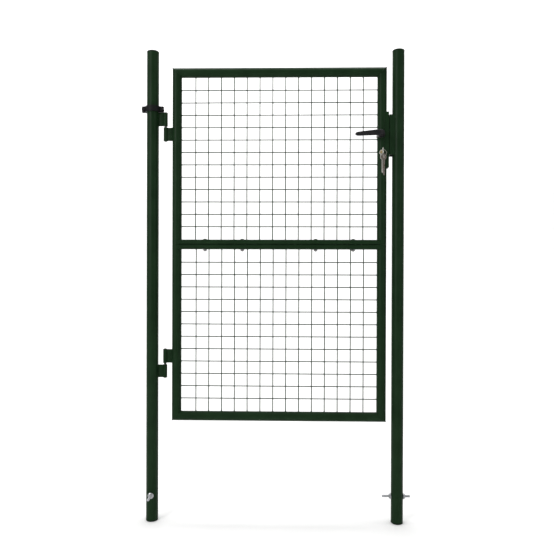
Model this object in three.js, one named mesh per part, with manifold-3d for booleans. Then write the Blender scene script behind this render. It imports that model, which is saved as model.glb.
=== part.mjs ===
// Single garden gate: a welded mesh leaf hung between two round steel posts.
// Millimetres, +Z up. The origin is on the ground, midway between the posts.
// +X runs from the hinge post to the lock post and the leaf opens towards -Y.
import * as THREE from 'three';
import { mergeVertices } from 'three/addons/utils/BufferGeometryUtils.js';
import Module from 'manifold-3d';

const wasm = await Module();
wasm.setup();

// ---------- driving dimensions ----------
const GAP = 0.3;                  // clearance between pieces that touch
const ROUND_SIDES = 24;           // sides of the large round tubes
const BOLT_SIDES = 8;

const POST_SPACING = 990;         // between the two post axes
const POST_HEIGHT = 1900;         // over both plastic caps
const POST_RADIUS = 24;
const POST_WALL = 2;
const CAP_OVERHANG = 0.5;         // how far a cap stands outside its tube
const CAP_RIM = 2.5;
const CAP_SKIRT = 14;             // depth of the plug inside the tube
const TOP_CAP_RISE = 7;
const FOOT_CAP_THICK = 5;
const FOOT_CAP_ROUND = 3;

const HINGE_GAP = 56;             // hinge post surface to leaf
const LOCK_GAP = 22;              // leaf to lock post surface
const LEAF_BOTTOM = 405;
const LEAF_HEIGHT = 1425;
const FRAME_RADIUS = 19;
const FRAME_WALL = 1.5;
const MITRE_GAP = 0.4;

const RAIL_HEIGHT = 19;           // each of the two middle rails
const RAIL_CORNER = 6;
const RAIL_SPLIT = 0.5;           // joint between upper and lower half frames

const WIRE = 4;                   // mesh wire diameter
const WIRE_BITE = 0.4;            // depth to which crossing wires are welded
const PITCH_X = 52;
const PITCH_Z = 50;
const LOWER_MESH_SHIFT = 3;

const RAIL_BOLT_RADIUS = 4;
const RAIL_BOLT_CLEARANCE = 0.5;
const RAIL_BOLT_PITCHES = [0.75, 3.65];  // from the end wires in to the bolts
const RAIL_BOLT_HEAD = 4;
const RAIL_BOLT_HEAD_RADIUS = 7.5;
const RAIL_NUT_ACROSS = 13;
const RAIL_NUT_HEIGHT = 6;
const RAIL_BOLT_TAIL = 2;         // thread showing below the nut

const PIN_RADIUS = 5;
const PIN_BORE_CLEARANCE = 0.4;
const KNUCKLE_WALL = 3;
const HINGE_PLATE = 5;
const PIN_TO_LEAF = 28;           // pin axis to the leaf's edge
const UPPER_POST_BRACKET = [-234, -179];       // heights from the leaf's top
const UPPER_LEAF_BRACKET = [-294, -239.5];
const LOWER_LEAF_BRACKET = [232.5, 288.5];     // heights from the leaf's bottom
const LOWER_POST_BRACKET = [173.5, 225.8];
const PIN_SHOW = 2;               // how far a pin stands out of its knuckles

const COLLAR_SEAT = 0.8;          // above the upper post bracket
const COLLAR_HEIGHT = 23;
const COLLAR_WALL = 5;
const COLLAR_EAR = 20;            // how far an ear stands out from the post
const COLLAR_EAR_THICK = 6;
const COLLAR_SPLIT = 1;
const COLLAR_BOLT_OUT = 12.5;     // from the post's surface to the bolt axis
const COLLAR_BOLT_RADIUS = 4;
const COLLAR_BOLT_ACROSS = 13;
const COLLAR_BOLT_HEAD = 5.3;
const COLLAR_NUT_HEIGHT = 6.5;

const ANCHOR_Z = 106;
const ANCHOR_RADIUS = 5;
const ANCHOR_LENGTH = 112;
const ANCHOR_HOLE_CLEARANCE = 0.6;
const ANCHOR_NUT_ACROSS = 17;
const ANCHOR_NUT_HEIGHT = 8;
const ANCHOR_FLANGE_RADIUS = 12;
const ANCHOR_FLANGE = 3;
const LEFT_ANCHOR_SHIFT = -12;    // both rods sit off centre
const RIGHT_ANCHOR_SHIFT = -4;

const LOCK_AXIS_FROM_EDGE = 24;   // spindle and cylinder axis to the leaf edge
const SPINDLE_BELOW_TOP = 273;
const CYLINDER_DROP = 72;         // spindle axis to cylinder axis
const CHANNEL_PROUD = 6.5;        // lock channel beyond the leaf edge
const CHANNEL_LAP = 13;           // and back over the stile
const CHANNEL_INSET = 1;          // its faces lie inside those of the stile
const CHANNEL_SHEET = 3;
const CHANNEL_SPAN = [-131, 91];  // these heights are from the spindle axis
const FOREND_HALF = 10;
const FOREND_SPAN = [-117, 63];
const CASE_HALF = 8;
const CASE_WALL = 1.5;
const CASE_SPAN = [-102, 43];
const CASE_DEPTH = 36.7;
const CASE_SLOT_CLEARANCE = 0.6;

const LATCH_RISE = 18;            // above the spindle axis
const LATCH_HALF_HEIGHT = 7;
const LATCH_HALF_WIDTH = 5.9;
const LATCH_THROW = 11;
const LATCH_TAIL = 19.5;
const LATCH_NOSE = 2.4;
const DEADBOLT_DROP = 51;         // below the spindle axis
const DEADBOLT_HALF_HEIGHT = 10;
const DEADBOLT_HALF_WIDTH = 5;
const DEADBOLT_SETBACK = 1.5;
const DEADBOLT_LENGTH = 22;
const BOLT_CLEARANCE = 0.6;

const SPINDLE_HALF = 4;
const SPINDLE_SHORT = 10;         // from the spindle's end to the lever's face
const SPINDLE_CAP_RADIUS = 9;
const SPINDLE_CAP_PROUD = 6;      // cap face beyond the back rose
const SPINDLE_CAP_SEAT = 2;       // solid end of the cap behind the spindle
const FOLLOWER_RADIUS = 7.6;
const FOLLOWER_NOSE = 12;
const FOLLOWER_NOSE_HALF = 3;
const FOLLOWER_HALF = 6;
const ROSE_RADIUS = 14;
const ROSE_PROUD = 7;             // rose face beyond the stile
const ROSE_BORE = 7;
const HUB_RADIUS = 11.5;
const LEVER_PROUD = 32;           // lever face beyond the rose
const LEVER_THICK = 13;
const LEVER_LENGTH = 110;
const LEVER_TIP_DROP = 7;
const LEVER_TIP_HALF = 7.3;
const LEVER_ROOT_HALF = 11.2;

const CYLINDER_PROUD = 8;         // cylinder face beyond the stile, each side
const CYLINDER_RADIUS = 8.5;
const CYLINDER_TAIL_HALF = 5;
const CYLINDER_HEIGHT = 33;
const CYLINDER_CLEARANCE = 0.5;
const PLUG_RADIUS = 5.5;
const PLUG_PROUD = 0.8;
const CAM_REACH = 9.5;
const CAM_HALF = 4.5;
const CAM_CLEARANCE = 0.6;

const KEY_THICK = 1.8;
const KEY_BLADE_HALF = 4;
const KEY_BLADE_INSIDE = 24;
const KEY_NECK_HALF = 4;
const KEY_NECK_LENGTH = 12.5;
const KEY_BOW_RADIUS = 12;
const KEY_BOW_HOLE = 5.2;
const KEYWAY_CLEARANCE = 0.35;
const RING_RADIUS = 13;
const RING_WIRE = 0.9;
const RING_LEAN = THREE.MathUtils.degToRad(35);
const RING_FORWARD = 8.5;         // ring's middle plane beyond the cylinder face
const SPARE_KEY_TWIST = THREE.MathUtils.degToRad(30);
const SPARE_KEY_SPOTS = [-10, 15].map(THREE.MathUtils.degToRad);
const SPARE_KEY_DROPS = [64, 74];  // bow centre to tip
const SPARE_KEY_HANG = 2.2;        // wire centre to bow centre

const KEEP_GAP = 2;               // lock channel to keep
const KEEP_SHEET = 3;
const KEEP_SPAN = [-81, 80];       // heights from the spindle axis
const STOP_GAP = 1;               // closed leaf to the stop lip
const STOP_REACH = 9.5;           // how far the lip laps behind the leaf

// ---------- derived places ----------
function heights([low, high], from) {
  return [low + from, high + from];
}

const POST_X = POST_SPACING / 2;
const LEAF_LEFT = -POST_X + POST_RADIUS + HINGE_GAP;
const LEAF_RIGHT = POST_X - POST_RADIUS - LOCK_GAP;
const LEAF_MIDDLE = (LEAF_LEFT + LEAF_RIGHT) / 2;
const STILE_LEFT = LEAF_LEFT + FRAME_RADIUS;
const STILE_RIGHT = LEAF_RIGHT - FRAME_RADIUS;
const LEAF_TOP = LEAF_BOTTOM + LEAF_HEIGHT;
const TOP_TUBE_Z = LEAF_TOP - FRAME_RADIUS;
const BOTTOM_TUBE_Z = LEAF_BOTTOM + FRAME_RADIUS;
const SPLIT_Z = (LEAF_BOTTOM + LEAF_TOP) / 2;
const PIN_X = LEAF_LEFT - PIN_TO_LEAF;
const KNUCKLE_RADIUS = PIN_RADIUS + PIN_BORE_CLEARANCE + KNUCKLE_WALL;
const UPPER_POST_BRACKET_Z = heights(UPPER_POST_BRACKET, LEAF_TOP);
const UPPER_LEAF_BRACKET_Z = heights(UPPER_LEAF_BRACKET, LEAF_TOP);
const LOWER_LEAF_BRACKET_Z = heights(LOWER_LEAF_BRACKET, LEAF_BOTTOM);
const LOWER_POST_BRACKET_Z = heights(LOWER_POST_BRACKET, LEAF_BOTTOM);
const COLLAR_Z = UPPER_POST_BRACKET_Z[1] + COLLAR_SEAT;
const COLLAR_EAR_REACH = POST_RADIUS + COLLAR_EAR;
const SPINDLE_Z = LEAF_TOP - SPINDLE_BELOW_TOP;
const LATCH_Z = SPINDLE_Z + LATCH_RISE;
const DEADBOLT_Z = SPINDLE_Z - DEADBOLT_DROP;
const CHANNEL_Z = heights(CHANNEL_SPAN, SPINDLE_Z);
const FOREND_Z = heights(FOREND_SPAN, SPINDLE_Z);
const CASE_Z = heights(CASE_SPAN, SPINDLE_Z);
const KEEP_Z = heights(KEEP_SPAN, SPINDLE_Z);
const LOCK_X = LEAF_RIGHT - LOCK_AXIS_FROM_EDGE;
const CYLINDER_Z = SPINDLE_Z - CYLINDER_DROP;
const CHANNEL_FACE = LEAF_RIGHT + CHANNEL_PROUD;
const CHANNEL_BACK = LEAF_RIGHT - CHANNEL_LAP;
const FOREND_BACK = CHANNEL_FACE - CHANNEL_SHEET;
const CASE_RIGHT = FOREND_BACK - GAP;
const CASE_LEFT = CASE_RIGHT - CASE_DEPTH;
const CASE_INSIDE = CASE_HALF - CASE_WALL;
const CHANNEL_HALF = FRAME_RADIUS - CHANNEL_INSET;
const ROSE_FACE = FRAME_RADIUS + ROSE_PROUD;
const LEVER_FACE = ROSE_FACE + LEVER_PROUD;
const SPINDLE_FRONT = -LEVER_FACE + SPINDLE_SHORT;
const SPINDLE_CAP_FACE = ROSE_FACE + SPINDLE_CAP_PROUD;
const SPINDLE_BACK = SPINDLE_CAP_FACE - SPINDLE_CAP_SEAT - GAP;
const CYLINDER_REACH = FRAME_RADIUS + CYLINDER_PROUD;
const RING_Y = -CYLINDER_REACH - RING_FORWARD;
const KEEP_FACE = CHANNEL_FACE + KEEP_GAP;
const STOP_Y = CHANNEL_HALF + STOP_GAP;

// ---------- solid helpers ----------
function solid(geometry) {
  const bare = geometry.clone();
  bare.deleteAttribute('normal');
  bare.deleteAttribute('uv');
  const merged = mergeVertices(bare, 1e-4);
  return new wasm.Manifold(new wasm.Mesh({
    numProp: 3,
    vertProperties: new Float32Array(merged.attributes.position.array),
    triVerts: new Uint32Array(merged.index.array),
  }));
}

function surface(manifold) {
  const mesh = manifold.getMesh();
  const geometry = new THREE.BufferGeometry();
  geometry.setAttribute('position', new THREE.BufferAttribute(mesh.vertProperties, mesh.numProp));
  geometry.setIndex(new THREE.BufferAttribute(mesh.triVerts, 1));
  return geometry;
}

function join(...pieces) {
  return pieces.reduce((whole, piece) => whole.add(piece));
}

function cut(piece, ...tools) {
  return tools.reduce((rest, tool) => rest.subtract(tool), piece);
}

function block(x, y, z) {
  const geometry = new THREE.BoxGeometry(x[1] - x[0], y[1] - y[0], z[1] - z[0]);
  geometry.translate((x[0] + x[1]) / 2, (y[0] + y[1]) / 2, (z[0] + z[1]) / 2);
  return solid(geometry);
}

// An outline pushed along one axis. The outline is given in the other two
// axes: (y, z) for along X, (x, z) for along Y and (x, y) for along Z.
function prism(axis, shape, from, to, sides = 24) {
  const geometry = new THREE.ExtrudeGeometry(shape, {
    depth: to - from,
    bevelEnabled: false,
    curveSegments: sides / 2,
  });
  if (axis === 'x') {
    const turn = new THREE.Matrix4().makeBasis(
      new THREE.Vector3(0, 1, 0),
      new THREE.Vector3(0, 0, 1),
      new THREE.Vector3(1, 0, 0),
    );
    geometry.applyMatrix4(turn);
    geometry.translate(from, 0, 0);
  } else if (axis === 'y') {
    geometry.rotateX(Math.PI / 2);
    geometry.translate(0, to, 0);
  } else {
    geometry.translate(0, 0, from);
  }
  return geometry;
}

function circle(radius, u = 0, v = 0) {
  const shape = new THREE.Shape();
  shape.absarc(u, v, radius, 0, 2 * Math.PI);
  return shape;
}

function ring(outer, inner, u = 0, v = 0) {
  const shape = circle(outer, u, v);
  shape.holes.push(circle(inner, u, v));
  return shape;
}

function polygon(points) {
  return new THREE.Shape(points.map(([u, v]) => new THREE.Vector2(u, v)));
}

function hexagon(across, u = 0, v = 0) {
  const radius = across / Math.sqrt(3);
  const corners = [0, 1, 2, 3, 4, 5].map((step) => {
    const angle = (step * Math.PI) / 3;
    return [u + radius * Math.cos(angle), v + radius * Math.sin(angle)];
  });
  return polygon(corners);
}

function roundedRectangle(u, v, corner) {
  const shape = new THREE.Shape();
  shape.moveTo(u[0] + corner, v[0]);
  shape.lineTo(u[1] - corner, v[0]);
  shape.absarc(u[1] - corner, v[0] + corner, corner, -Math.PI / 2, 0);
  shape.lineTo(u[1], v[1] - corner);
  shape.absarc(u[1] - corner, v[1] - corner, corner, 0, Math.PI / 2);
  shape.lineTo(u[0] + corner, v[1]);
  shape.absarc(u[0] + corner, v[1] - corner, corner, Math.PI / 2, Math.PI);
  shape.lineTo(u[0], v[0] + corner);
  shape.absarc(u[0] + corner, v[0] + corner, corner, Math.PI, 1.5 * Math.PI);
  return shape;
}

function rod(axis, radius, u, v, from, to, sides = 16) {
  return solid(prism(axis, circle(radius, u, v), from, to, sides));
}

function stileCutter(x) {
  return rod('z', FRAME_RADIUS + GAP, x, 0, LEAF_BOTTOM, LEAF_TOP, ROUND_SIDES);
}

function postCutter(x) {
  return rod('z', POST_RADIUS + GAP, x, 0, 0, POST_HEIGHT, ROUND_SIDES);
}

// ---------- materials ----------
function paint(colour, roughness, metalness) {
  return new THREE.MeshStandardMaterial({ color: colour, roughness, metalness });
}

const greenPaint = paint(0x1d3524, 0.38, 0.25);
const greenPlastic = paint(0x14261a, 0.5, 0);
const blackPlastic = paint(0x151618, 0.42, 0);
const blackSteel = paint(0x1b1c1e, 0.5, 0.4);
const zinc = paint(0xb9bcc0, 0.35, 0.9);
const darkSteel = paint(0x5b5d60, 0.45, 0.85);
const nickel = paint(0xc4c1b6, 0.3, 0.9);
const brass = paint(0xa98a4c, 0.35, 0.9);

const gate = new THREE.Group();
const postsGroup = new THREE.Group();
const leafGroup = new THREE.Group();
const lockGroup = new THREE.Group();
gate.add(postsGroup, leafGroup, lockGroup);

function piece(group, name, shape, material, position = [0, 0, 0]) {
  const geometry = shape.isBufferGeometry ? shape : surface(shape);
  geometry.computeVertexNormals();
  const mesh = new THREE.Mesh(geometry, material);
  mesh.name = name;
  mesh.position.set(...position);
  group.add(mesh);
  return mesh;
}

// ---------- posts ----------
function postTube(x, anchorHole) {
  const tube = solid(prism(
    'z',
    ring(POST_RADIUS, POST_RADIUS - POST_WALL, x, 0),
    FOOT_CAP_THICK + GAP,
    POST_HEIGHT - TOP_CAP_RISE - GAP,
    ROUND_SIDES,
  ));
  return cut(tube, anchorHole);
}

const anchorHoleRadius = ANCHOR_RADIUS + ANCHOR_HOLE_CLEARANCE;
const anchorHalf = ANCHOR_LENGTH / 2;
const leftAnchorHole = rod('y', anchorHoleRadius, -POST_X, ANCHOR_Z, -anchorHalf, anchorHalf);
const rightAnchorHole = rod(
  'x', anchorHoleRadius, 0, ANCHOR_Z, POST_X - anchorHalf, POST_X + anchorHalf,
);
piece(postsGroup, 'left_post', postTube(-POST_X, leftAnchorHole), greenPaint);
piece(postsGroup, 'right_post', postTube(POST_X, rightAnchorHole), greenPaint);

// A lathe outline is listed as (radius, height) points from the axis round to
// the axis again, with the outside on the way up.
function lathe(points, sides = ROUND_SIDES) {
  const outline = points.map(([radius, height]) => new THREE.Vector2(radius, height));
  const geometry = new THREE.LatheGeometry(outline, sides);
  geometry.rotateX(Math.PI / 2);
  return solid(geometry);
}

function arcPoints(centre, radii, from, to, steps) {
  return Array.from({ length: steps + 1 }, (_, step) => {
    const angle = from + ((to - from) * step) / steps;
    return [centre[0] + radii[0] * Math.cos(angle), centre[1] + radii[1] * Math.sin(angle)];
  });
}

const capRadius = POST_RADIUS + CAP_OVERHANG;
const skirtOuter = POST_RADIUS - POST_WALL - GAP;

function topCap() {
  const domeRadii = [capRadius, TOP_CAP_RISE - CAP_RIM];
  const dome = arcPoints([0, CAP_RIM], domeRadii, 0, Math.PI / 2, 4);
  dome[dome.length - 1][0] = 0;
  return lathe([
    [0, -CAP_SKIRT],
    [skirtOuter, -CAP_SKIRT],
    [skirtOuter, 0],
    [capRadius, 0],
    ...dome,
  ]);
}

function footCap() {
  const bend = capRadius - FOOT_CAP_ROUND;
  const edge = arcPoints(
    [bend, FOOT_CAP_ROUND], [FOOT_CAP_ROUND, FOOT_CAP_ROUND], -Math.PI / 2, 0, 3,
  );
  return lathe([
    [0, 0],
    ...edge,
    [capRadius, FOOT_CAP_THICK],
    [skirtOuter, FOOT_CAP_THICK],
    [skirtOuter, FOOT_CAP_THICK + CAP_SKIRT],
    [0, FOOT_CAP_THICK + CAP_SKIRT],
  ]);
}

for (const [side, x] of [['left', -POST_X], ['right', POST_X]]) {
  const capSeat = POST_HEIGHT - TOP_CAP_RISE;
  piece(postsGroup, `${side}_post_top_cap`, topCap(), greenPlastic, [x, 0, capSeat]);
  piece(postsGroup, `${side}_post_foot_cap`, footCap(), greenPlastic, [x, 0, 0]);
}

// ---------- hinges ----------
// A flat plate welded to its tube and rolled into a knuckle round the pin.
function hingeBracket(tubeX, tubeCutter, [low, high]) {
  const plateEnds = [Math.min(tubeX, PIN_X), Math.max(tubeX, PIN_X)];
  const plate = block(plateEnds, [-HINGE_PLATE / 2, HINGE_PLATE / 2], [low, high]);
  const knuckle = rod('z', KNUCKLE_RADIUS, PIN_X, 0, low, high);
  const bore = rod('z', PIN_RADIUS + PIN_BORE_CLEARANCE, PIN_X, 0, low - 1, high + 1);
  return cut(join(plate, knuckle), tubeCutter, bore);
}

const hingePostCutter = postCutter(-POST_X);
const hingeStileCutter = stileCutter(STILE_LEFT);
const brackets = [
  ['upper_hinge_post_bracket', postsGroup, -POST_X, hingePostCutter, UPPER_POST_BRACKET_Z],
  ['lower_hinge_post_bracket', postsGroup, -POST_X, hingePostCutter, LOWER_POST_BRACKET_Z],
  ['upper_hinge_leaf_bracket', leafGroup, STILE_LEFT, hingeStileCutter, UPPER_LEAF_BRACKET_Z],
  ['lower_hinge_leaf_bracket', leafGroup, STILE_LEFT, hingeStileCutter, LOWER_LEAF_BRACKET_Z],
];
for (const [name, group, tubeX, cutter, span] of brackets) {
  piece(group, name, hingeBracket(tubeX, cutter, span), greenPaint);
}

function hingePin(low, high) {
  return prism('z', circle(PIN_RADIUS, PIN_X, 0), low - PIN_SHOW, high + PIN_SHOW, 16);
}
const upperPin = hingePin(UPPER_LEAF_BRACKET_Z[0], UPPER_POST_BRACKET_Z[1] - PIN_SHOW);
const lowerPin = hingePin(LOWER_POST_BRACKET_Z[0], LOWER_LEAF_BRACKET_Z[1]);
piece(postsGroup, 'upper_hinge_pin', upperPin, darkSteel);
piece(postsGroup, 'lower_hinge_pin', lowerPin, darkSteel);

// ---------- clamp collar above the upper hinge ----------
const collarTop = COLLAR_Z + COLLAR_HEIGHT;
const collarMiddle = COLLAR_Z + COLLAR_HEIGHT / 2;
const earFace = COLLAR_SPLIT / 2 + COLLAR_EAR_THICK;
const collarBoltOffset = POST_RADIUS + COLLAR_BOLT_OUT;
const collarBoltSpots = [-POST_X - collarBoltOffset, -POST_X + collarBoltOffset];

function collarHalf(side) {
  const span = [COLLAR_Z, collarTop];
  const shell = rod(
    'z', POST_RADIUS + GAP + COLLAR_WALL, -POST_X, 0, COLLAR_Z, collarTop, ROUND_SIDES,
  );
  const ears = block(
    [-POST_X - COLLAR_EAR_REACH, -POST_X + COLLAR_EAR_REACH], [-earFace, earFace], span,
  );
  const split = COLLAR_SPLIT / 2;
  const far = 2 * COLLAR_EAR_REACH;
  const away = side === 'front' ? [-split, far] : [-far, split];
  const otherHalf = block([-POST_X - far, -POST_X + far], away, [COLLAR_Z - 1, collarTop + 1]);
  const holes = collarBoltSpots.map((x) => rod(
    'y', COLLAR_BOLT_RADIUS + RAIL_BOLT_CLEARANCE, x, collarMiddle, -far, far, BOLT_SIDES,
  ));
  return cut(join(shell, ears), hingePostCutter, otherHalf, ...holes);
}
piece(postsGroup, 'collar_front_half', collarHalf('front'), blackSteel);
piece(postsGroup, 'collar_back_half', collarHalf('back'), blackSteel);

collarBoltSpots.forEach((x, index) => {
  const side = ['left', 'right'][index];
  const headFace = -earFace - GAP;
  const nutFace = earFace + GAP;
  const headShape = hexagon(COLLAR_BOLT_ACROSS, x, collarMiddle);
  const head = solid(prism('y', headShape, headFace - COLLAR_BOLT_HEAD, headFace));
  const shank = rod(
    'y', COLLAR_BOLT_RADIUS, x, collarMiddle, headFace, nutFace + COLLAR_NUT_HEIGHT + 1,
    BOLT_SIDES,
  );
  const nutShape = hexagon(COLLAR_BOLT_ACROSS, x, collarMiddle);
  nutShape.holes.push(circle(COLLAR_BOLT_RADIUS + GAP, x, collarMiddle));
  piece(postsGroup, `collar_bolt_${side}`, join(head, shank), blackSteel);
  piece(
    postsGroup, `collar_nut_${side}`,
    prism('y', nutShape, nutFace, nutFace + COLLAR_NUT_HEIGHT, BOLT_SIDES), blackSteel,
  );
});

// ---------- ground anchors ----------
// A nut with a round flange. Its flange faces the post from the given side.
function flangeNut(axis, u, v, face, side) {
  const bore = rod(axis, ANCHOR_RADIUS + GAP, u, v, face - 20, face + 20, 12);
  const flangeEnd = face + side * ANCHOR_FLANGE;
  const nutEnd = face + side * ANCHOR_NUT_HEIGHT;
  const flange = rod(
    axis, ANCHOR_FLANGE_RADIUS, u, v, Math.min(face, flangeEnd), Math.max(face, flangeEnd),
  );
  const hex = solid(prism(
    axis, hexagon(ANCHOR_NUT_ACROSS, u, v), Math.min(face, nutEnd), Math.max(face, nutEnd),
  ));
  return cut(join(flange, hex), bore);
}

const seat = POST_RADIUS + GAP;
piece(
  postsGroup, 'left_anchor_rod',
  prism(
    'y', circle(ANCHOR_RADIUS, -POST_X, ANCHOR_Z),
    LEFT_ANCHOR_SHIFT - anchorHalf, LEFT_ANCHOR_SHIFT + anchorHalf, 16,
  ),
  zinc,
);
piece(postsGroup, 'left_anchor_nut_front', flangeNut('y', -POST_X, ANCHOR_Z, -seat, -1), zinc);
piece(postsGroup, 'left_anchor_nut_back', flangeNut('y', -POST_X, ANCHOR_Z, seat, 1), zinc);
const rightRodMiddle = POST_X + RIGHT_ANCHOR_SHIFT;
piece(
  postsGroup, 'right_anchor_rod',
  prism(
    'x', circle(ANCHOR_RADIUS, 0, ANCHOR_Z),
    rightRodMiddle - anchorHalf, rightRodMiddle + anchorHalf, 16,
  ),
  zinc,
);
piece(
  postsGroup, 'right_anchor_nut_inner',
  flangeNut('x', 0, ANCHOR_Z, POST_X - seat, -1), zinc,
);
piece(
  postsGroup, 'right_anchor_nut_outer',
  flangeNut('x', 0, ANCHOR_Z, POST_X + seat, 1), zinc,
);

// ---------- leaf frame ----------
// A tube whose ends lean to meet its neighbours in a mitre. It is made along Z
// and each end rises by its lean for every millimetre across the tube.
function mitredTube(x, from, to, fromLean, toLean) {
  const middle = (from + to) / 2;
  const shape = ring(FRAME_RADIUS, FRAME_RADIUS - FRAME_WALL);
  const geometry = prism('z', shape, from, to, ROUND_SIDES);
  const points = geometry.attributes.position;
  for (let index = 0; index < points.count; index += 1) {
    const across = points.getX(index);
    const height = points.getZ(index);
    const lean = height < middle ? fromLean : toLean;
    points.setZ(index, height + lean * across);
  }
  geometry.translate(x, 0, 0);
  return geometry;
}

function crossTube(z, lean) {
  const tube = mitredTube(0, STILE_LEFT + MITRE_GAP, STILE_RIGHT - MITRE_GAP, lean, -lean);
  tube.rotateY(Math.PI / 2);
  tube.translate(0, 0, z);
  return tube;
}

function stile(x, half, lean) {
  if (half === 'upper') {
    return mitredTube(x, SPLIT_Z + RAIL_SPLIT / 2, TOP_TUBE_Z - MITRE_GAP, 0, -lean);
  }
  return mitredTube(x, BOTTOM_TUBE_Z + MITRE_GAP, SPLIT_Z - RAIL_SPLIT / 2, lean, 0);
}

function cylinderOutline(clearance) {
  const radius = CYLINDER_RADIUS + clearance;
  const half = CYLINDER_TAIL_HALF + clearance;
  const bottom = CYLINDER_Z + CYLINDER_RADIUS - CYLINDER_HEIGHT - clearance;
  const turn = Math.acos(half / radius);
  const shape = new THREE.Shape();
  shape.moveTo(LOCK_X - half, bottom);
  shape.lineTo(LOCK_X + half, bottom);
  shape.absarc(LOCK_X, CYLINDER_Z, radius, -turn, Math.PI + turn);
  return shape;
}

const through = [-2 * POST_RADIUS, 2 * POST_RADIUS];
const cylinderHole = solid(prism('y', cylinderOutline(CYLINDER_CLEARANCE), ...through));
const spindleHole = rod('y', ROSE_BORE, LOCK_X, SPINDLE_Z, ...through);
const caseSlot = block(
  [STILE_RIGHT, CHANNEL_FACE],
  [-CASE_HALF - CASE_SLOT_CLEARANCE, CASE_HALF + CASE_SLOT_CLEARANCE],
  [CASE_Z[0] - CASE_SLOT_CLEARANCE, CASE_Z[1] + CASE_SLOT_CLEARANCE],
);
const lockStile = cut(
  solid(stile(STILE_RIGHT, 'upper', -1)), cylinderHole, spindleHole, caseSlot,
);

piece(leafGroup, 'upper_top_tube', crossTube(TOP_TUBE_Z, 1), greenPaint);
piece(leafGroup, 'upper_left_stile', stile(STILE_LEFT, 'upper', 1), greenPaint);
piece(leafGroup, 'upper_right_stile', lockStile, greenPaint);
piece(leafGroup, 'lower_bottom_tube', crossTube(BOTTOM_TUBE_Z, -1), greenPaint);
piece(leafGroup, 'lower_left_stile', stile(STILE_LEFT, 'lower', 1), greenPaint);
piece(leafGroup, 'lower_right_stile', stile(STILE_RIGHT, 'lower', -1), greenPaint);

// ---------- middle rails and their bolts ----------
const MESH_LEFT = STILE_LEFT + FRAME_RADIUS + GAP;
const MESH_RIGHT = STILE_RIGHT - FRAME_RADIUS - GAP;
const UPRIGHT_WIRES = Math.round((MESH_RIGHT - MESH_LEFT) / PITCH_X) - 1;
const endWire = ((UPRIGHT_WIRES - 1) * PITCH_X) / 2;
const [outerBolt, innerBolt] = RAIL_BOLT_PITCHES.map((count) => endWire - count * PITCH_X);
const railBoltSpots = [-outerBolt, -innerBolt, innerBolt, outerBolt]
  .map((offset) => LEAF_MIDDLE + offset);
const upperRail = [SPLIT_Z + RAIL_SPLIT / 2, SPLIT_Z + RAIL_SPLIT / 2 + RAIL_HEIGHT];
const lowerRail = [SPLIT_Z - RAIL_SPLIT / 2 - RAIL_HEIGHT, SPLIT_Z - RAIL_SPLIT / 2];
const railCutters = [hingeStileCutter, stileCutter(STILE_RIGHT)];
const railBoltHoles = railBoltSpots.map((x) => rod(
  'z', RAIL_BOLT_RADIUS + RAIL_BOLT_CLEARANCE, x, 0, lowerRail[0] - 1, upperRail[1] + 1, BOLT_SIDES,
));

function middleRail([low, high]) {
  const outside = roundedRectangle([-FRAME_RADIUS, FRAME_RADIUS], [low, high], RAIL_CORNER);
  const inside = roundedRectangle(
    [-FRAME_RADIUS + FRAME_WALL, FRAME_RADIUS - FRAME_WALL],
    [low + FRAME_WALL, high - FRAME_WALL],
    RAIL_CORNER - FRAME_WALL,
  );
  outside.holes.push(inside);
  const tube = solid(prism('x', outside, STILE_LEFT, STILE_RIGHT, 8));
  return cut(tube, ...railCutters, ...railBoltHoles);
}
piece(leafGroup, 'upper_mid_rail', middleRail(upperRail), greenPaint);
piece(leafGroup, 'lower_mid_rail', middleRail(lowerRail), greenPaint);

railBoltSpots.forEach((x, index) => {
  const headSeat = upperRail[1] + GAP;
  const nutSeat = lowerRail[0] - GAP;
  const nutEnd = nutSeat - RAIL_NUT_HEIGHT;
  const head = rod(
    'z', RAIL_BOLT_HEAD_RADIUS, x, 0, headSeat, headSeat + RAIL_BOLT_HEAD,
  );
  const shank = rod('z', RAIL_BOLT_RADIUS, x, 0, nutEnd - RAIL_BOLT_TAIL, headSeat, BOLT_SIDES);
  const nut = hexagon(RAIL_NUT_ACROSS, x, 0);
  nut.holes.push(circle(RAIL_BOLT_RADIUS + GAP, x, 0));
  piece(leafGroup, `rail_bolt_${index + 1}`, join(head, shank), greenPaint);
  piece(leafGroup, `rail_nut_${index + 1}`, prism('z', nut, nutEnd, nutSeat, BOLT_SIDES), darkSteel);
});

// ---------- welded wire mesh ----------
function meshPanel(bottom, top, shift) {
  const half = WIRE / 2;
  const offset = (WIRE - WIRE_BITE) / 2;
  const crossWires = Math.round((top - bottom) / PITCH_Z) - 1;
  const firstX = LEAF_MIDDLE + shift - endWire;
  const firstZ = (bottom + top) / 2 - ((crossWires - 1) * PITCH_Z) / 2;
  const uprights = Array.from({ length: UPRIGHT_WIRES }, (_, index) => {
    const x = firstX + index * PITCH_X;
    return block([x - half, x + half], [offset - half, offset + half], [bottom, top]);
  });
  const crosses = Array.from({ length: crossWires }, (_, index) => {
    const z = firstZ + index * PITCH_Z;
    return block([MESH_LEFT, MESH_RIGHT], [-offset - half, -offset + half], [z - half, z + half]);
  });
  return join(...uprights, ...crosses);
}
const upperMesh = meshPanel(upperRail[1] + GAP, TOP_TUBE_Z - FRAME_RADIUS - GAP, 0);
const lowerMesh = meshPanel(
  BOTTOM_TUBE_Z + FRAME_RADIUS + GAP, lowerRail[0] - GAP, LOWER_MESH_SHIFT,
);
piece(leafGroup, 'upper_mesh', upperMesh, greenPaint);
piece(leafGroup, 'lower_mesh', lowerMesh, greenPaint);

// ---------- lock housing ----------
const rightStileCutter = stileCutter(STILE_RIGHT);

function bothSides(make) {
  return join(make(-1), make(1));
}

function ordered(first, second) {
  return [Math.min(first, second), Math.max(first, second)];
}

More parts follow.
